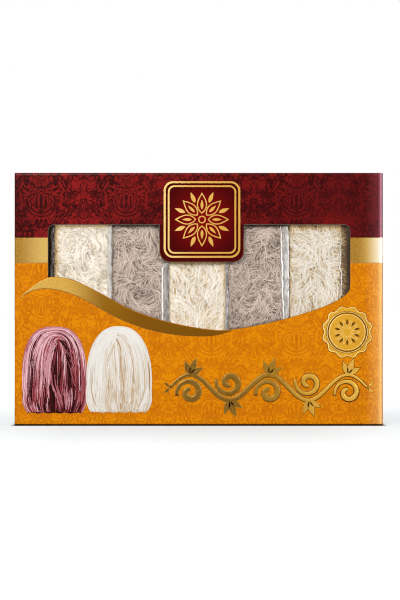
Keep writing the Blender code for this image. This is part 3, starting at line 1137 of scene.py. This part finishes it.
# %% [markdown]
# ## Floss
#
# Each pouch is packed with thousands of separate threads. A thread starts somewhere under the
# skin and walks along a swirling flow, and a clump of neighbours walks together. Every thread
# is one slim three-sided tube. All of a pouch's tubes become one mesh, round a dark core that
# stands for the threads deep inside; its dark tan is painted shade. A tone from 0 to 1 varies
# the colour from thread to thread and along each. Besides random differences between threads,
# its falls are painted shade: with depth, under the window's edges, beside the carton's dark
# side, along the window's sill, past the last pouch's crease and in hollows turned away from
# the key light. The threads also glow faintly in their gap colour, most just under the window's
# upper edges: painted light. Neighbours press a pouch squarer than its plain solid, and the
# right-hand one bulges into the free space past its crease.

# %% Thread maker
PATH_POINTS = 6
TUBE_SIDES = 3
FILM_ROOM = 0.15
THREAD_LAYER = 0.7
CORE_DEPTH = 1.35
CORE_TONE = 0.3
DARK_TONE = 0.22
DARK_THINNER = 0.8
STREAK_NOISE = 0.035
NEAR_SHARE = 0.88
FRONT_WAY = 25
FRONT_HEIGHTS = (62, 147)
ROUND_WAY = 69
TOP_LENGTH, LOW_LENGTH = 1.7, 0.95
# Towards the key light. Threads turned away from it get painted shade.
TO_KEY = (-0.4, -0.77, 0.5)
TOP_SHARE = 0.14
DEEP_SHARE = 0.5


def swirls(draw, count, shortest, longest):
    """A smooth field of directions that curl, made from waves of random aim and length."""
    turn = draw.uniform(0, 2 * math.pi, count)
    wave = 2 * math.pi / draw.uniform(shortest, longest, count)
    phase = draw.uniform(0, 2 * math.pi, count)
    along, up = np.cos(turn) * wave, np.sin(turn) * wave
    size = math.sqrt(count / 2) * wave.mean()

    def field(way, height):
        slope = np.cos(way[:, None] * along + height[:, None] * up + phase)
        return np.stack([(slope * up).sum(1), -(slope * along).sum(1)], axis=1) / size

    return field


def walk(draw, style, skin):
    """Paths of all threads of a pouch: way round, height and depth at each of their points."""
    clumps = style["threads"] // style["clump"]
    near = draw.random(clumps) < NEAR_SHARE
    way = np.where(
        near, draw.uniform(-FRONT_WAY, FRONT_WAY, clumps), draw.uniform(-ROUND_WAY, ROUND_WAY, clumps)
    )
    height = np.where(
        near, draw.uniform(*FRONT_HEIGHTS, clumps), draw.uniform(skin.low, skin.high, clumps)
    )
    under = draw.random(clumps)
    depth = FILM_ROOM + THREAD_LAYER * under
    turn = draw.normal(0, style["stray"], clumps)
    each = np.repeat(np.arange(clumps), style["clump"])
    count = len(each)
    way = way[each] + draw.normal(0, style["bundle"], count)
    height = height[each] + draw.normal(0, style["bundle"], count)
    depth = depth[each] + draw.normal(0, 0.15, count)
    turn = turn[each] + draw.normal(0, 0.12, count)
    curve = draw.normal(0, style["curl"], clumps)[each] + draw.normal(0, 0.04, count)
    longer = np.where(under < TOP_SHARE, TOP_LENGTH, LOW_LENGTH)
    length = draw.uniform(*style["length"], count) * longer[each]
    phase = draw.uniform(0, 2 * math.pi, clumps)[each]
    flow = swirls(draw, 12, *style["swirl"])
    path = []
    for step in range(PATH_POINTS):
        path.append((way, height))
        aim = flow(way, height) * style["swirl_weight"] + style["lean"](way, height)
        angle = np.arctan2(aim[:, 1], aim[:, 0]) + turn + curve * (step - PATH_POINTS / 2)
        angle = angle + style["wave"] * np.sin(step * 1.9 + phase)
        way = way + np.cos(angle) * length / (PATH_POINTS - 1)
        height = height + np.sin(angle) * length / (PATH_POINTS - 1)
    way, height = (np.stack(values, axis=1) for values in zip(*path))
    way -= (way[:, -1:] - way[:, :1]) / 2
    height -= (height[:, -1:] - height[:, :1]) / 2
    share = np.linspace(-1, 1, PATH_POINTS)
    dive = draw.uniform(0.0, 0.35, count)[:, None] * share ** 2
    wobble = draw.normal(0, 0.1, (count, 1)) * share
    return way, height, np.maximum(depth[:, None] + dive + wobble, FILM_ROOM), each


def tubes(places, normals, radius, flat=1.0):
    """Corners and triangles of a closed, tapered tube along every path."""
    count, steps = places.shape[:2]
    run = np.gradient(places, axis=1)
    run /= np.maximum(np.linalg.norm(run, axis=2, keepdims=True), 1e-9)
    side = np.cross(run, normals)
    side /= np.maximum(np.linalg.norm(side, axis=2, keepdims=True), 1e-9)
    out = np.cross(side, run) * flat
    rings = []
    for corner in range(TUBE_SIDES):
        angle = 2 * math.pi * corner / TUBE_SIDES + math.pi / 2
        rings.append(places + (side * math.cos(angle) + out * math.sin(angle)) * radius[..., None])
    rings = np.stack(rings, axis=2)[:, 1:-1]
    corners = np.concatenate([places[:, :1], rings.reshape(count, -1, 3), places[:, -1:]], axis=1)
    last = corners.shape[1] - 1
    triangles = []
    for corner in range(TUBE_SIDES):
        other = (corner + 1) % TUBE_SIDES
        triangles.append((0, 1 + other, 1 + corner))
        for ring in range(steps - 3):
            here, there = 1 + ring * TUBE_SIDES, 1 + (ring + 1) * TUBE_SIDES
            triangles.append((here + corner, here + other, there + corner))
            triangles.append((here + other, there + other, there + corner))
        top = last - TUBE_SIDES
        triangles.append((top + corner, top + other, last))
    start = np.arange(count)[:, None, None] * corners.shape[1]
    return corners.reshape(-1, 3), (np.array(triangles)[None] + start).reshape(-1, 3)


def mesh_from(name, corners, triangles):
    mesh = bpy.data.meshes.new(name)
    mesh.vertices.add(len(corners))
    mesh.vertices.foreach_set("co", corners.ravel())
    mesh.loops.add(triangles.size)
    mesh.loops.foreach_set("vertex_index", triangles.ravel())
    mesh.polygons.add(len(triangles))
    mesh.polygons.foreach_set("loop_start", np.arange(0, triangles.size, 3))
    mesh.update(calc_edges=True)
    mesh.shade_smooth()
    piece = bpy.data.objects.new(name, mesh)
    bpy.context.scene.collection.objects.link(piece)
    return piece


def set_floats(piece, name, values):
    layer = piece.data.attributes.new(name, "FLOAT", "POINT")
    layer.data.foreach_set("value", values)


def merged_copy(node, name):
    """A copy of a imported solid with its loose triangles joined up."""
    piece = node.copy()
    piece.data = node.data.copy()
    piece.name = name
    bpy.context.scene.collection.objects.link(piece)
    piece.hide_render = False
    piece.hide_viewport = False
    edit(piece)
    bpy.ops.mesh.remove_doubles(threshold=0.01 * MM)
    done()
    return piece


def squared(places, skin):
    """Pushes places out to a pouch's sharp corners and, if it bulges, past its right side."""
    across = (places[..., 0] - skin.centre_x) / skin.half_width
    through = (places[..., 1] - skin.centre_y) / skin.half_depth
    a, b = np.abs(across), np.abs(through)
    round_size = (a ** ROUND_POWER + b ** ROUND_POWER) ** (1 / ROUND_POWER)
    square_size = (a ** SQUARE_POWER + b ** SQUARE_POWER) ** (1 / SQUARE_POWER)
    grow = round_size / np.maximum(square_size, 1e-6)
    pushed = places.copy()
    pushed[..., 0] = skin.centre_x + (places[..., 0] - skin.centre_x) * grow
    pushed[..., 1] = skin.centre_y + (places[..., 1] - skin.centre_y) * grow
    past = np.maximum(pushed[..., 0] - skin.centre_x - skin.half_width + BULGE_START, 0)
    pushed[..., 0] += skin.bulge * past
    return pushed


def square_up(piece, skin):
    places = np.empty(len(piece.data.vertices) * 3)
    piece.data.vertices.foreach_get("co", places)
    pushed = squared(places.reshape(-1, 3) / MM, skin) * MM
    piece.data.vertices.foreach_set("co", pushed.ravel())
    piece.data.update()
    return pushed


def core(node, name, skin):
    """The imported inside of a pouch, a little under the threads."""
    piece = merged_copy(node, name)
    shrink = piece.modifiers.new("shrink", "DISPLACE")
    shrink.strength = -CORE_DEPTH * MM
    shrink.mid_level = 0
    apply_all(piece)
    square_up(piece, skin)
    set_floats(piece, "tone", np.full(len(piece.data.vertices), CORE_TONE))
    return piece


def floss(index, style, material, slot):
    """All threads of one pouch, kept on their own side of its crease, round its core."""
    draw = np.random.default_rng(style["seed"])
    skin = skins[index]
    way, height, depth, clump = walk(draw, style, skin)
    places, normals = skin.at(way, height, depth)
    places = squared(places, skin)
    fold = skin.centre_x - skin.half_width + style["fold"]
    side = places[:, :, 0]
    held = side.mean(axis=1, keepdims=True) < fold
    places[:, :, 0] = np.where(held, np.minimum(side, fold), np.maximum(side, fold))
    count = len(way)
    share = np.linspace(-1, 1, PATH_POINTS)
    under = (depth.mean(axis=1) - FILM_ROOM) / THREAD_LAYER
    is_dark = (draw.random(count) < style["dark"]) & (under > 0.4 * TOP_SHARE)
    thick = draw.uniform(*style["radius"], count) * np.where(is_dark, DARK_THINNER, 1.0)
    corners, triangles = tubes(places, normals, thick[:, None] * (1 - 0.4 * share ** 2))
    strands = mesh_from(f"floss_{index}", corners * MM, triangles)
    shade = draw.random(clump.max() + 1)[clump] * 0.3 + draw.random(count) * 0.7
    # Painted shade: deeper threads get a lower tone.
    tone = np.interp(under, (0.0, TOP_SHARE, DEEP_SHARE), style["tones"]) + 0.12 - 0.4 * shade ** 2
    tone = np.where(is_dark, DARK_TONE + 0.1 * shade, tone)
    # Painted shade: a lower tone beside the carton's dark side, under the window's edges and in hollows
    # turned away from the key light.
    lit = normals @ np.array(TO_KEY)
    across, up = places[:, :, 0], places[:, :, 2]
    tone = tone[:, None] * np.interp(across - skin.centre_x + skin.half_width, *style["shadow"])
    tone = tone * np.interp(up, style["lid"], style["under_lid"])
    tone = tone * np.interp(lit, (0.5, 0.76), style["hollow"])
    # Past the last pouch's crease the tone follows a painted shade up its turned-away side.
    side_shade = tone * np.interp(up, *style["side"]) + draw.normal(0, STREAK_NOISE, (count, 1))
    tone = np.where(held, tone, side_shade)
    # Painted shade along the window's sill.
    sill = np.interp(across, *np.array(wave_foot()).T)
    tone = tone * np.interp(up - sill, (0.2, 2.4), (style["foot"], 1.0))
    tone = np.repeat(tone, [1] + [TUBE_SIDES] * (PATH_POINTS - 2) + [1], axis=1)
    set_floats(strands, "tone", np.clip(tone, 0.02, 1.0).ravel())
    piece = join(f"floss_{index}", [strands, core(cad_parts[f"pouch_{index}"], "core", skin)])
    settle(piece, material)
    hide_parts(f"pouch_{index}")
    return piece


print("each thread has", PATH_POINTS, "points")

# %% Thread material
# The first shade is the painted shade of threads in shadow, the second the gap colour.
PLAIN = colours((80, 50, 20), (203, 172, 120), (227, 220, 206), (236, 234, 230))
COCOA = colours((62, 50, 42), (112, 92, 79), (180, 162, 148), (209, 193, 181))


def floss_paint(name, shades, glow, lid):
    """Shades run from a painted deep shadow over gap and thread to the brightest thread. The threads
    glow in the gap colour, more near the lid: painted light.
    """
    paint = Paint(name, Roughness=0.6, Specular_Ior_Level=0.14, Emission_Strength=1.0)
    tone = paint.attribute("tone")
    _, _, z = paint.xyz(paint.place())
    near_top = paint.ramp(z * 1000, *lid)
    # Painted light: a faint glow in the gap colour, stronger near the window's edge above.
    weak, strong = (tuple(part * share for part in shades[1]) for share in glow)
    grain = paint.noise(paint.place(), 2600.0, 2.0)
    base = paint.run(tone, shades, ((0.0, 0.3), (0.25, 0.55), (0.55, 1.0)))
    base = paint.blend(grain * 0.08, base, shades[1])
    inner = paint.blend(near_top, weak, strong)
    paint.put(
        Base_Color=base,
        Emission_Color=paint.blend(paint.ramp(tone, 0.0, 0.16), BLACK, inner),
        Normal=paint.bump(grain, 0.00005, 0.4),
    )
    return paint.material


# %% Five pouches of floss


def steady(across, up):
    """The same lean everywhere."""
    return lambda way, height: np.array([[across, up]])


def fan_out(middle, foot, strength):
    """Threads that spread from a point, as from the knot of a tuft."""
    def lean(way, height):
        away = np.stack([way - middle, height - foot], axis=1)
        return strength * away / np.maximum(np.linalg.norm(away, axis=1, keepdims=True), 1.0)
    return lean


# Per pouch, "light" scales its shades, partly to paint it lighter or darker, and "tones", "glow",
# "lid", "under_lid", "shadow", "hollow", "foot" and "side" set its painted light and painted shade.
FINE = {"length": (7, 15), "radius": (0.2, 0.32), "clump": 1, "bundle": 0.0, "stray": 0.8,
        "curl": 0.08, "swirl": (14, 40), "swirl_weight": 1.0, "dark": 0.1, "threads": 6600,
        "tones": (0.9, 0.85, 0.55), "light": 1.0, "wave": 0.22, "fold": 99.0,
        "lid": (139.4, 141.6), "under_lid": (1.0, 0.35), "hollow": (0.45, 1.0),
        "foot": 1.0, "glow": (0.02, 0.04), "shadow": ((0.0, 2.2), (0.4, 1.0)),
        "side": ((0.0, 1.0), (1.0, 1.0))}
STYLES = {
    1: {**FINE, "lean": steady(0.0, 0.1), "seed": 11, "stray": 0.8, "light": 0.9,
        "clump": 2, "bundle": 0.3, "radius": (0.24, 0.36), "length": (9, 17),
        "tones": (0.88, 0.84, 0.6), "hollow": (0.7, 1.0),
        "glow": (0.17, 0.42), "lid": (138.4, 140.6), "under_lid": (1.0, 0.6),
        "shadow": ((0.0, 1.0, 2.0, 3.4, 6.0), (0.03, 0.2, 0.4, 0.65, 1.0))},
    2: {**FINE, "lean": steady(0.1, 0.8), "seed": 12, "stray": 0.6, "dark": 0.26, "light": 1.07,
        "foot": 0.55, "hollow": (0.8, 1.0), "glow": (0.02, 0.1), "under_lid": (1.0, 0.5)},
    3: {**FINE, "lean": fan_out(0, 62, 2.2), "seed": 13, "stray": 0.4, "swirl_weight": 0.7,
        "clump": 2, "bundle": 0.35, "tones": (0.9, 0.82, 0.4), "glow": (0.15, 0.26), "light": 0.9,
        "lid": (113.0, 115.2)},
    4: {**FINE, "lean": steady(-0.2, 0.5), "seed": 14, "curl": 0.2, "dark": 0.28, "light": 1.08,
        "foot": 0.35, "hollow": (0.8, 1.0)},
    5: {**FINE, "lean": fan_out(3, 117, 1.8), "seed": 15, "length": (12, 20), "clump": 2,
        "bundle": 0.3, "stray": 0.36, "curl": 0.12, "radius": (0.28, 0.44), "foot": 0.5,
        "lid": (136.8, 139.6), "wave": 0.26, "threads": 5800, "fold": 36.8, "swirl_weight": 0.8,
        "tones": (0.92, 0.74, 0.26), "light": 0.745, "glow": (0.15, 0.36),
        "shadow": ((0.0, 1.6, 36.7, 36.9, 39.0, 40.8, 42.4), (0.5, 1.0, 1.0, 0.2, 0.13, 0.04, 0.0)),
        "side": ((96, 102, 110, 117, 126, 131, 136, 140), (0.7, 1.0, 1.1, 0.5, 0.5, 1.1, 0.9, 0.1))},
}
for index, style in STYLES.items():
    kind, shades = ("cocoa", COCOA) if index in (2, 4) else ("plain", PLAIN)
    shades = [tuple(min(part * style["light"], 1.0) for part in shade) for shade in shades]
    material = floss_paint(f"{kind} floss {index}", shades, style["glow"], style["lid"])
    piece = floss(index, style, material, kind + "_floss")
    print(piece.name, len(piece.data.polygons), "faces")

# %% [markdown]
# ## The printed domes
#
# Two domes of floss halva are printed low on the left, one rosy and one cream. A darker plate has
# the dome's outline, and thousands of flat, tapered strokes lie on it like hair: outer ones run
# over the crown like horseshoes, inner ones hang from a parting. Where strokes leave gaps, the
# plate shows as the dark between strands.

# %% Dome outline
SHOULDER = 0.35
INNER_CROWN = 0.84
CROWN_RISE = 0.155
FOOT_TUCK = 0.16
ROSY = {"box": (-101.8, 9.0, 22.8, 61.2), "power": 2.7, "parting": 0.16, "seed": 3, "locks": 19,
        "pinch": 0.55, "tones": (0.2, 0.46, 0.2), "gap": 0.08, "vary": 0.26}
CREAM = {"box": (-56.2, 9.4, 23.1, 61.0), "power": 2.3, "parting": -0.12, "seed": 5, "locks": 22,
         "pinch": 0.12, "tones": (0.54, 0.3, 0.14), "gap": 0.3, "vary": 0.22}

# An accent is a bundle of strokes: three places (reach, along), how many, their scatter, tone.
ROSY["accents"] = [
    ((0.1, 0.02), (0.4, 0.26), (0.5, 0.46), 9, 0.022, 0.0),
    ((0.3, 0.16), (0.44, 0.34), (0.47, 0.6), 14, 0.035, 0.04),
    ((-0.16, 0.52), (-0.1, 0.72), (-0.04, 0.97), 16, 0.03, 0.0),
    ((-0.06, 0.74), (-0.02, 0.86), (0.0, 0.97), 22, 0.07, 0.02),
    ((-0.78, 0.72), (-0.8, 0.3), (-0.8, 0.02), 3, 0.02, 0.0),
    ((0.8, 0.02), (0.8, 0.3), (0.78, 0.7), 3, 0.02, 0.0),
    ((-0.72, 0.36), (-0.74, 0.6), (-0.74, 0.86), 5, 0.015, 0.02),
    ((0.62, 0.8), (0.63, 0.88), (0.62, 0.97), 7, 0.02, 0.02),
    ((-0.52, 0.84), (-0.52, 0.9), (-0.5, 0.98), 7, 0.02, 0.02),
    ((0.84, 0.84), (0.84, 0.9), (0.82, 0.98), 7, 0.02, 0.02),
    ((0.3, 0.86), (0.3, 0.92), (0.3, 0.98), 7, 0.02, 0.04),
    ((0.38, 0.66), (0.4, 0.76), (0.4, 0.86), 14, 0.05, 0.7),
    ((-0.14, 0.12), (-0.3, 0.34), (-0.34, 0.56), 14, 0.07, 0.72),
    ((-0.16, 0.46), (0.0, 0.66), (0.18, 0.92), 5, 0.02, 0.62),
    ((-0.06, 0.46), (0.08, 0.66), (0.24, 0.9), 4, 0.02, 0.56),
    ((0.36, 0.36), (0.44, 0.44), (0.48, 0.54), 12, 0.03, 0.0),
    ((0.26, 0.24), (0.46, 0.34), (0.7, 0.5), 8, 0.05, 0.6),
]
CREAM["accents"] = [
    ((-0.86, 0.42), (-0.84, 0.62), (-0.72, 0.9), 3, 0.012, 0.2),
    ((-0.1, 0.12), (-0.14, 0.2), (-0.36, 0.4), 4, 0.02, 0.35),
    ((-0.04, 0.2), (-0.06, 0.3), (-0.02, 0.42), 3, 0.015, 0.3),
    ((-0.12, 0.48), (-0.26, 0.68), (-0.42, 0.94), 8, 0.03, 0.38),
    ((-0.2, 0.66), (-0.26, 0.8), (-0.3, 0.96), 20, 0.07, 0.42),
    ((0.8, 0.4), (0.82, 0.62), (0.62, 0.94), 4, 0.015, 0.25),
    ((0.5, 0.6), (0.46, 0.76), (0.3, 0.94), 5, 0.02, 0.32),
    ((0.3, 0.6), (0.26, 0.78), (0.16, 0.95), 4, 0.02, 0.4),
    ((0.1, 0.4), (0.1, 0.6), (-0.02, 0.9), 4, 0.03, 0.4),
]


def arch(dome, reach, along):
    """A place on one of the nested arches that strands follow, in shares of the dome.

    The reach is -1 to 1 across. Along is 0 on the crown and 1 at the foot, and below 0 the arch
    goes on over the crown to the other side.
    """
    size = np.abs(reach)
    crown = INNER_CROWN + CROWN_RISE * size ** 1.4
    down = np.abs(along)
    turn = np.clip(down / 0.5, 0, 1) * math.pi / 2
    drop = np.clip((down - 0.5) / 0.5, 0, 1)
    across = size * np.sin(turn) ** (2 / dome["power"])
    up = np.where(down < 0.5, SHOULDER + (crown - SHOULDER) * np.cos(turn) ** (2 / dome["power"]),
                  SHOULDER * (1 - drop))
    across = across * (1 - FOOT_TUCK * np.clip(1 - up / FOOT_TUCK, 0, 1) ** 2)
    side = np.where(along < 0, -1.0, 1.0) * np.where(reach < 0, -1.0, 1.0)
    return side * across + dome["parting"] * (1 - size) * up, up


def dome_place(dome, across, up):
    middle, foot, half, height = dome["box"]
    return middle + half * across, foot + height * up


def dome_outline(dome):
    """Just inside the outermost strands, with a slightly wavy foot."""
    ways = np.concatenate([-np.linspace(1, 0, 40), np.linspace(0.03, 1, 39)])
    places = [dome_place(dome, *arch(dome, np.float64(0.985), way)) for way in ways]
    low = [dome_place(dome, x / 10, 0.008 * math.cos(x * 1.9)) for x in range(7, -8, -1)]
    return [Vector(place) for place in places + low]


print("dome outlines have", len(dome_outline(ROSY)), "points")

# %% Dome strands
STROKE_POINTS = 7
STROKES = 2400
STROKE_FLATNESS = 0.06
LOCK_SPREAD = 0.96
OUTER_REACH = 0.66
RIM_REACH = 0.95
RIM_TONE = 0.62


def dome_strokes(name, dome):
    """Flat strokes that lie on a dome like hair. Each belongs to a lock of one shade."""
    draw = np.random.default_rng(dome["seed"])
    locks = dome["locks"]
    centres = np.linspace(-LOCK_SPREAD, LOCK_SPREAD, locks) + draw.normal(0, 0.02, locks)
    lock = draw.integers(0, locks, STROKES)
    centre = centres[lock]
    reach = centre + draw.uniform(-0.6, 0.6, STROKES) * 2 * LOCK_SPREAD / locks
    outer = np.abs(reach) > OUTER_REACH
    start = np.where(outer, draw.uniform(-0.5, 0.85, STROKES), draw.uniform(-0.08, 0.85, STROKES))
    span = draw.uniform(0.14, 0.34, STROKES)
    along = start[:, None] + span[:, None] * np.linspace(0, 1, STROKE_POINTS)
    along = np.minimum(along, 0.995 - 0.03 * draw.random(STROKES)[:, None])
    along = np.where(outer[:, None], along, np.maximum(along, 0.0))
    height = draw.uniform(0.1, 0.5, locks)[lock][:, None]
    tight = dome["pinch"] * draw.uniform(0.4, 1.0, locks)[lock][:, None]
    up = arch(dome, reach[:, None], along)[1]
    squeeze = 1 - tight * np.exp(-((up - height) / 0.22) ** 2) * ~outer[:, None]
    wave = 0.012 * np.sin(along * 11 + draw.uniform(0, 6, STROKES)[:, None])
    reach = centre[:, None] + (reach - centre)[:, None] * squeeze + wave
    low, lift, edge = dome["tones"]
    tone = low + lift * up.mean(axis=1) + edge * 0.6 * outer
    tone += edge * np.clip(-reach.mean(axis=1), -0.3, 1)
    tone += draw.normal(0, 0.3 * lift, locks)[lock] + draw.normal(0, dome["vary"], STROKES)
    tone = np.where(np.abs(reach).max(axis=1) > RIM_REACH, np.maximum(tone, RIM_TONE), tone)
    rise = 0.13 + 0.15 * draw.random(STROKES)
    half = draw.uniform(0.2, 0.42, STROKES)
    for *places, count, scatter, shade in dome["accents"]:
        corners = np.array(places)
        share = np.linspace(0, 1, STROKE_POINTS) + draw.uniform(-0.25, 0.25, (count, 1))
        share = np.clip(share, 0, 1)
        line = [np.interp(share, (0, 0.5, 1), corners[:, axis]) for axis in range(2)]
        reach = np.concatenate([reach, line[0] + draw.normal(0, scatter, (count, 1))])
        along = np.concatenate([along, np.minimum(line[1] + draw.normal(0, scatter, (count, 1)), 0.99)])
        tone = np.concatenate([tone, shade + 0.06 * np.abs(draw.normal(0, 1, count))])
        rise = np.concatenate([rise, 0.28 + 0.05 * draw.random(count)])
        half = np.concatenate([half, draw.uniform(0.16, 0.34, count)])
    across, up = arch(dome, np.clip(reach, -0.992, 0.992), along)
    wide, tall = dome_place(dome, across, up)
    places = np.stack([wide, FRONT / MM - rise[:, None] + 0 * wide, tall], axis=2)
    share = np.linspace(-1, 1, STROKE_POINTS)
    width = half[:, None] * (1 - 0.8 * share ** 4)
    normals = np.broadcast_to(np.array([0.0, -1.0, 0.0]), places.shape)
    corners, triangles = tubes(places, normals, width, STROKE_FLATNESS)
    strands = mesh_from(name, corners * MM, triangles)
    strands.data.shade_flat()
    set_floats(strands, "tone", np.repeat(np.clip(tone, 0.0, 1), len(corners) // len(places)))
    return strands


def dome_paint(name, shades):
    """Shades run from the dark between strands over two middle ones to the lightest."""
    paint = Paint(name, Roughness=0.6, Specular_Ior_Level=0.04)
    tone = paint.attribute("tone")
    paint.put(Base_Color=paint.run(tone, shades, ((0.0, 0.3), (0.25, 0.65), (0.55, 1.0))))
    return paint.material


ROSY_SHADES = colours((24, 4, 4), (106, 34, 38), (154, 80, 86), (202, 162, 168))
CREAM_SHADES = colours((142, 104, 64), (176, 152, 121), (197, 188, 176), (206, 203, 197))
for name, dome, shades in (("rosy_dome", ROSY, ROSY_SHADES), ("cream_dome", CREAM, CREAM_SHADES)):
    back = plate(name + "_back", mm_points(dome_outline(dome)), 0.1 * MM)
    set_floats(back, "tone", np.full(len(back.data.vertices), dome["gap"]))
    piece = join(name, [dome_strokes(name, dome), back])
    settle(piece, dome_paint(name + " print", shades))
    print(name, len(piece.data.polygons), "faces")

# %% [markdown]
# ## Clear film
#
# A pouch's film is a copy of its imported solid, finely cut up. It lets nearly all light through.
# Its share of haze grows towards the sides, where the film stands off the floss, except where a
# pouch bulges, and crinkles catch the lamps there. Folded fins and pressed creases are narrow
# ribbons of the same film. Their colour is painted light: whiter where a fold shines, a painted
# highlight, and dark brown where a ribbon lies over a gap in shade, a painted shade. The
# crinkles also lighten and darken the film's colour, a painted glint.

# %% Film material


def film_paint():
    """Haze is how much film is seen, and white how bright it is: high for a painted highlight, low for
    a painted shade.
    """
    paint = Paint("clear film", Roughness=0.16, Specular_Ior_Level=0.6)
    x, y, z = paint.xyz(paint.place())
    haze, white = paint.attribute("haze"), paint.attribute("white")
    crinkle = paint.noise(paint.vector(x * 700, y * 700, z * 170), 1.0, 3.0, 0.6)
    crease = abs(paint.noise(paint.vector(x * 75, y * 75, z * 60), 1.0, 2.0) - 0.5)
    ridge = paint.ramp(crease, 0.0, 0.03, 1.0, 0.0)
    # The colour's brightness, from white and the crinkles, is painted highlight and painted shade.
    bright = white + (crinkle - 0.5) * 0.9 * (1 - abs(white * 2 - 1) * 0.6)
    paint.put(
        Base_Color=paint.blend(paint.ramp(bright, 0.0, 1.0), colour(52, 42, 33), colour(226, 223, 219)),
        Normal=paint.bump(crinkle * (0.2 + haze) + ridge * 0.4, 0.0003, 0.4),
    )
    paint.see_through(paint.least(haze * paint.ramp(crinkle, 0.3, 0.62, 0.7, 1.15) + 0.03, 1.0))
    return paint.material


# %% Film pieces
CLEAR = 0.02
SIDE_HAZE = 0.05
STEPS_UP = 70
STEPS_ACROSS = 6
FIN_DEPTH = 2.5
FIN_THICKNESS = 0.05
SWAY_RATES = (0.11, 0.23, 0.5, 0.9)


def film_body(index):
    """The film all round the pouch, a little hazier where it turns to sides that don't bulge."""
    piece = merged_copy(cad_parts[f"pouch_{index}"], f"film_{index}")
    edit(piece)
    bpy.ops.mesh.subdivide(number_cuts=2)
    done()
    skin = skins[index]
    places = square_up(piece, skin)
    across = np.abs(places[:, 0] / MM - skin.centre_x) / skin.half_width
    side_haze = 0.0 if skin.bulge else SIDE_HAZE
    set_floats(piece, "haze", CLEAR + side_haze * np.clip((across - 0.9) / 0.1, 0, 1) ** 2)
    set_floats(piece, "white", np.full(len(places), 0.5))
    piece.data.shade_smooth()
    return piece


def ribbon(draw, left, right, low, high, haze, white, wave=0.2, point=0.0, ridge=0.4, back=0.0,
           soft=0.0, hook=None):
    """An upright strip of folded film between two places across, slightly wavy."""
    bpy.ops.mesh.primitive_grid_add(x_subdivisions=STEPS_ACROSS, y_subdivisions=STEPS_UP, size=2)
    piece = bpy.context.object
    phase = draw.uniform(0, 2 * math.pi, 4)
    cover = []
    for vert in piece.data.vertices:
        across, up = vert.co.x, (vert.co.y + 1) / 2
        height = low + (high - low) * up
        sway = sum(math.sin(height * rate + start) for rate, start in zip(SWAY_RATES, phase))
        taper = 1 - point * (1 - math.sqrt(max(0.0, 1 - (2 * up - 1) ** 2)))
        half = (right - left) / 2 * taper * (1 + 0.12 * math.sin(height * 1.3 + phase[1]))
        x = (left + right) / 2 + wave * sway * 0.5 + half * across
        if hook:
            x += hook[1] * max(0.0, height - hook[0])
        y = FRONT / MM + FIN_DEPTH + back - ridge * (1 - across * across) - 0.1 * sway
        vert.co = (x * MM, y * MM, height * MM)
        cover.append(haze * (1 - soft * across * across))
    set_floats(piece, "haze", cover)
    set_floats(piece, "white", np.full(len(cover), white))
    thick = piece.modifiers.new("thick", "SOLIDIFY")
    thick.thickness = FIN_THICKNESS * MM
    apply_all(piece)
    piece.data.shade_smooth()
    return piece


# A high white paints a fold's highlight. A low white makes dark film that paints the shade in a gap.
FINS = {
    1: [dict(left=-104.8, right=-102.2, low=78, high=150, haze=0.45, white=0.2, back=1.0, wave=0.4,
             soft=0.6),
        dict(left=-64.8, right=-60.9, low=78, high=150, haze=0.46, white=0.68, wave=0.2, soft=1.0)],
    2: [dict(left=-26.3, right=-25.0, low=60, high=115.5, haze=0.9, white=0.95, wave=0.15,
             hook=(110.5, 0.75)),
        dict(left=-25.1, right=-21.6, low=58, high=117, haze=0.2, white=0.6, soft=0.5),
        dict(left=-22.6, right=-20.8, low=58, high=117, haze=0.5, white=0.44, soft=0.8, back=-0.1)],
    3: [dict(left=18.5, right=21.1, low=58, high=120, haze=0.42, white=0.52, wave=0.3, soft=0.7)],
    4: [dict(left=59.5, right=60.8, low=68, high=141, haze=0.95, white=0.95, wave=0.25, point=0.7,
             hook=(75.0, -0.034)),
        dict(left=58.6, right=62.6, low=68, high=141, haze=0.16, white=0.7, back=0.1, soft=0.6),
        dict(left=60.4, right=63.9, low=75, high=141.4, haze=0.52, white=0.7, wave=0.15, point=0.9),
        dict(left=62.9, right=63.7, low=75, high=139, haze=0.9, white=0.95, wave=0.15, point=0.85)],
    5: [dict(left=100.0, right=100.8, low=90, high=131, haze=0.85, white=0.9, wave=0.6, point=0.5)],
}
clear_film = film_paint()
for index, fins in FINS.items():
    draw = np.random.default_rng(40 + index)
    strips = [ribbon(draw, **fin) for fin in fins]
    piece = join(f"film_{index}", [film_body(index)] + strips)
    settle(piece, clear_film)
    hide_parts(f"pouch_{index}")
    print(piece.name, len(piece.data.polygons), "faces")
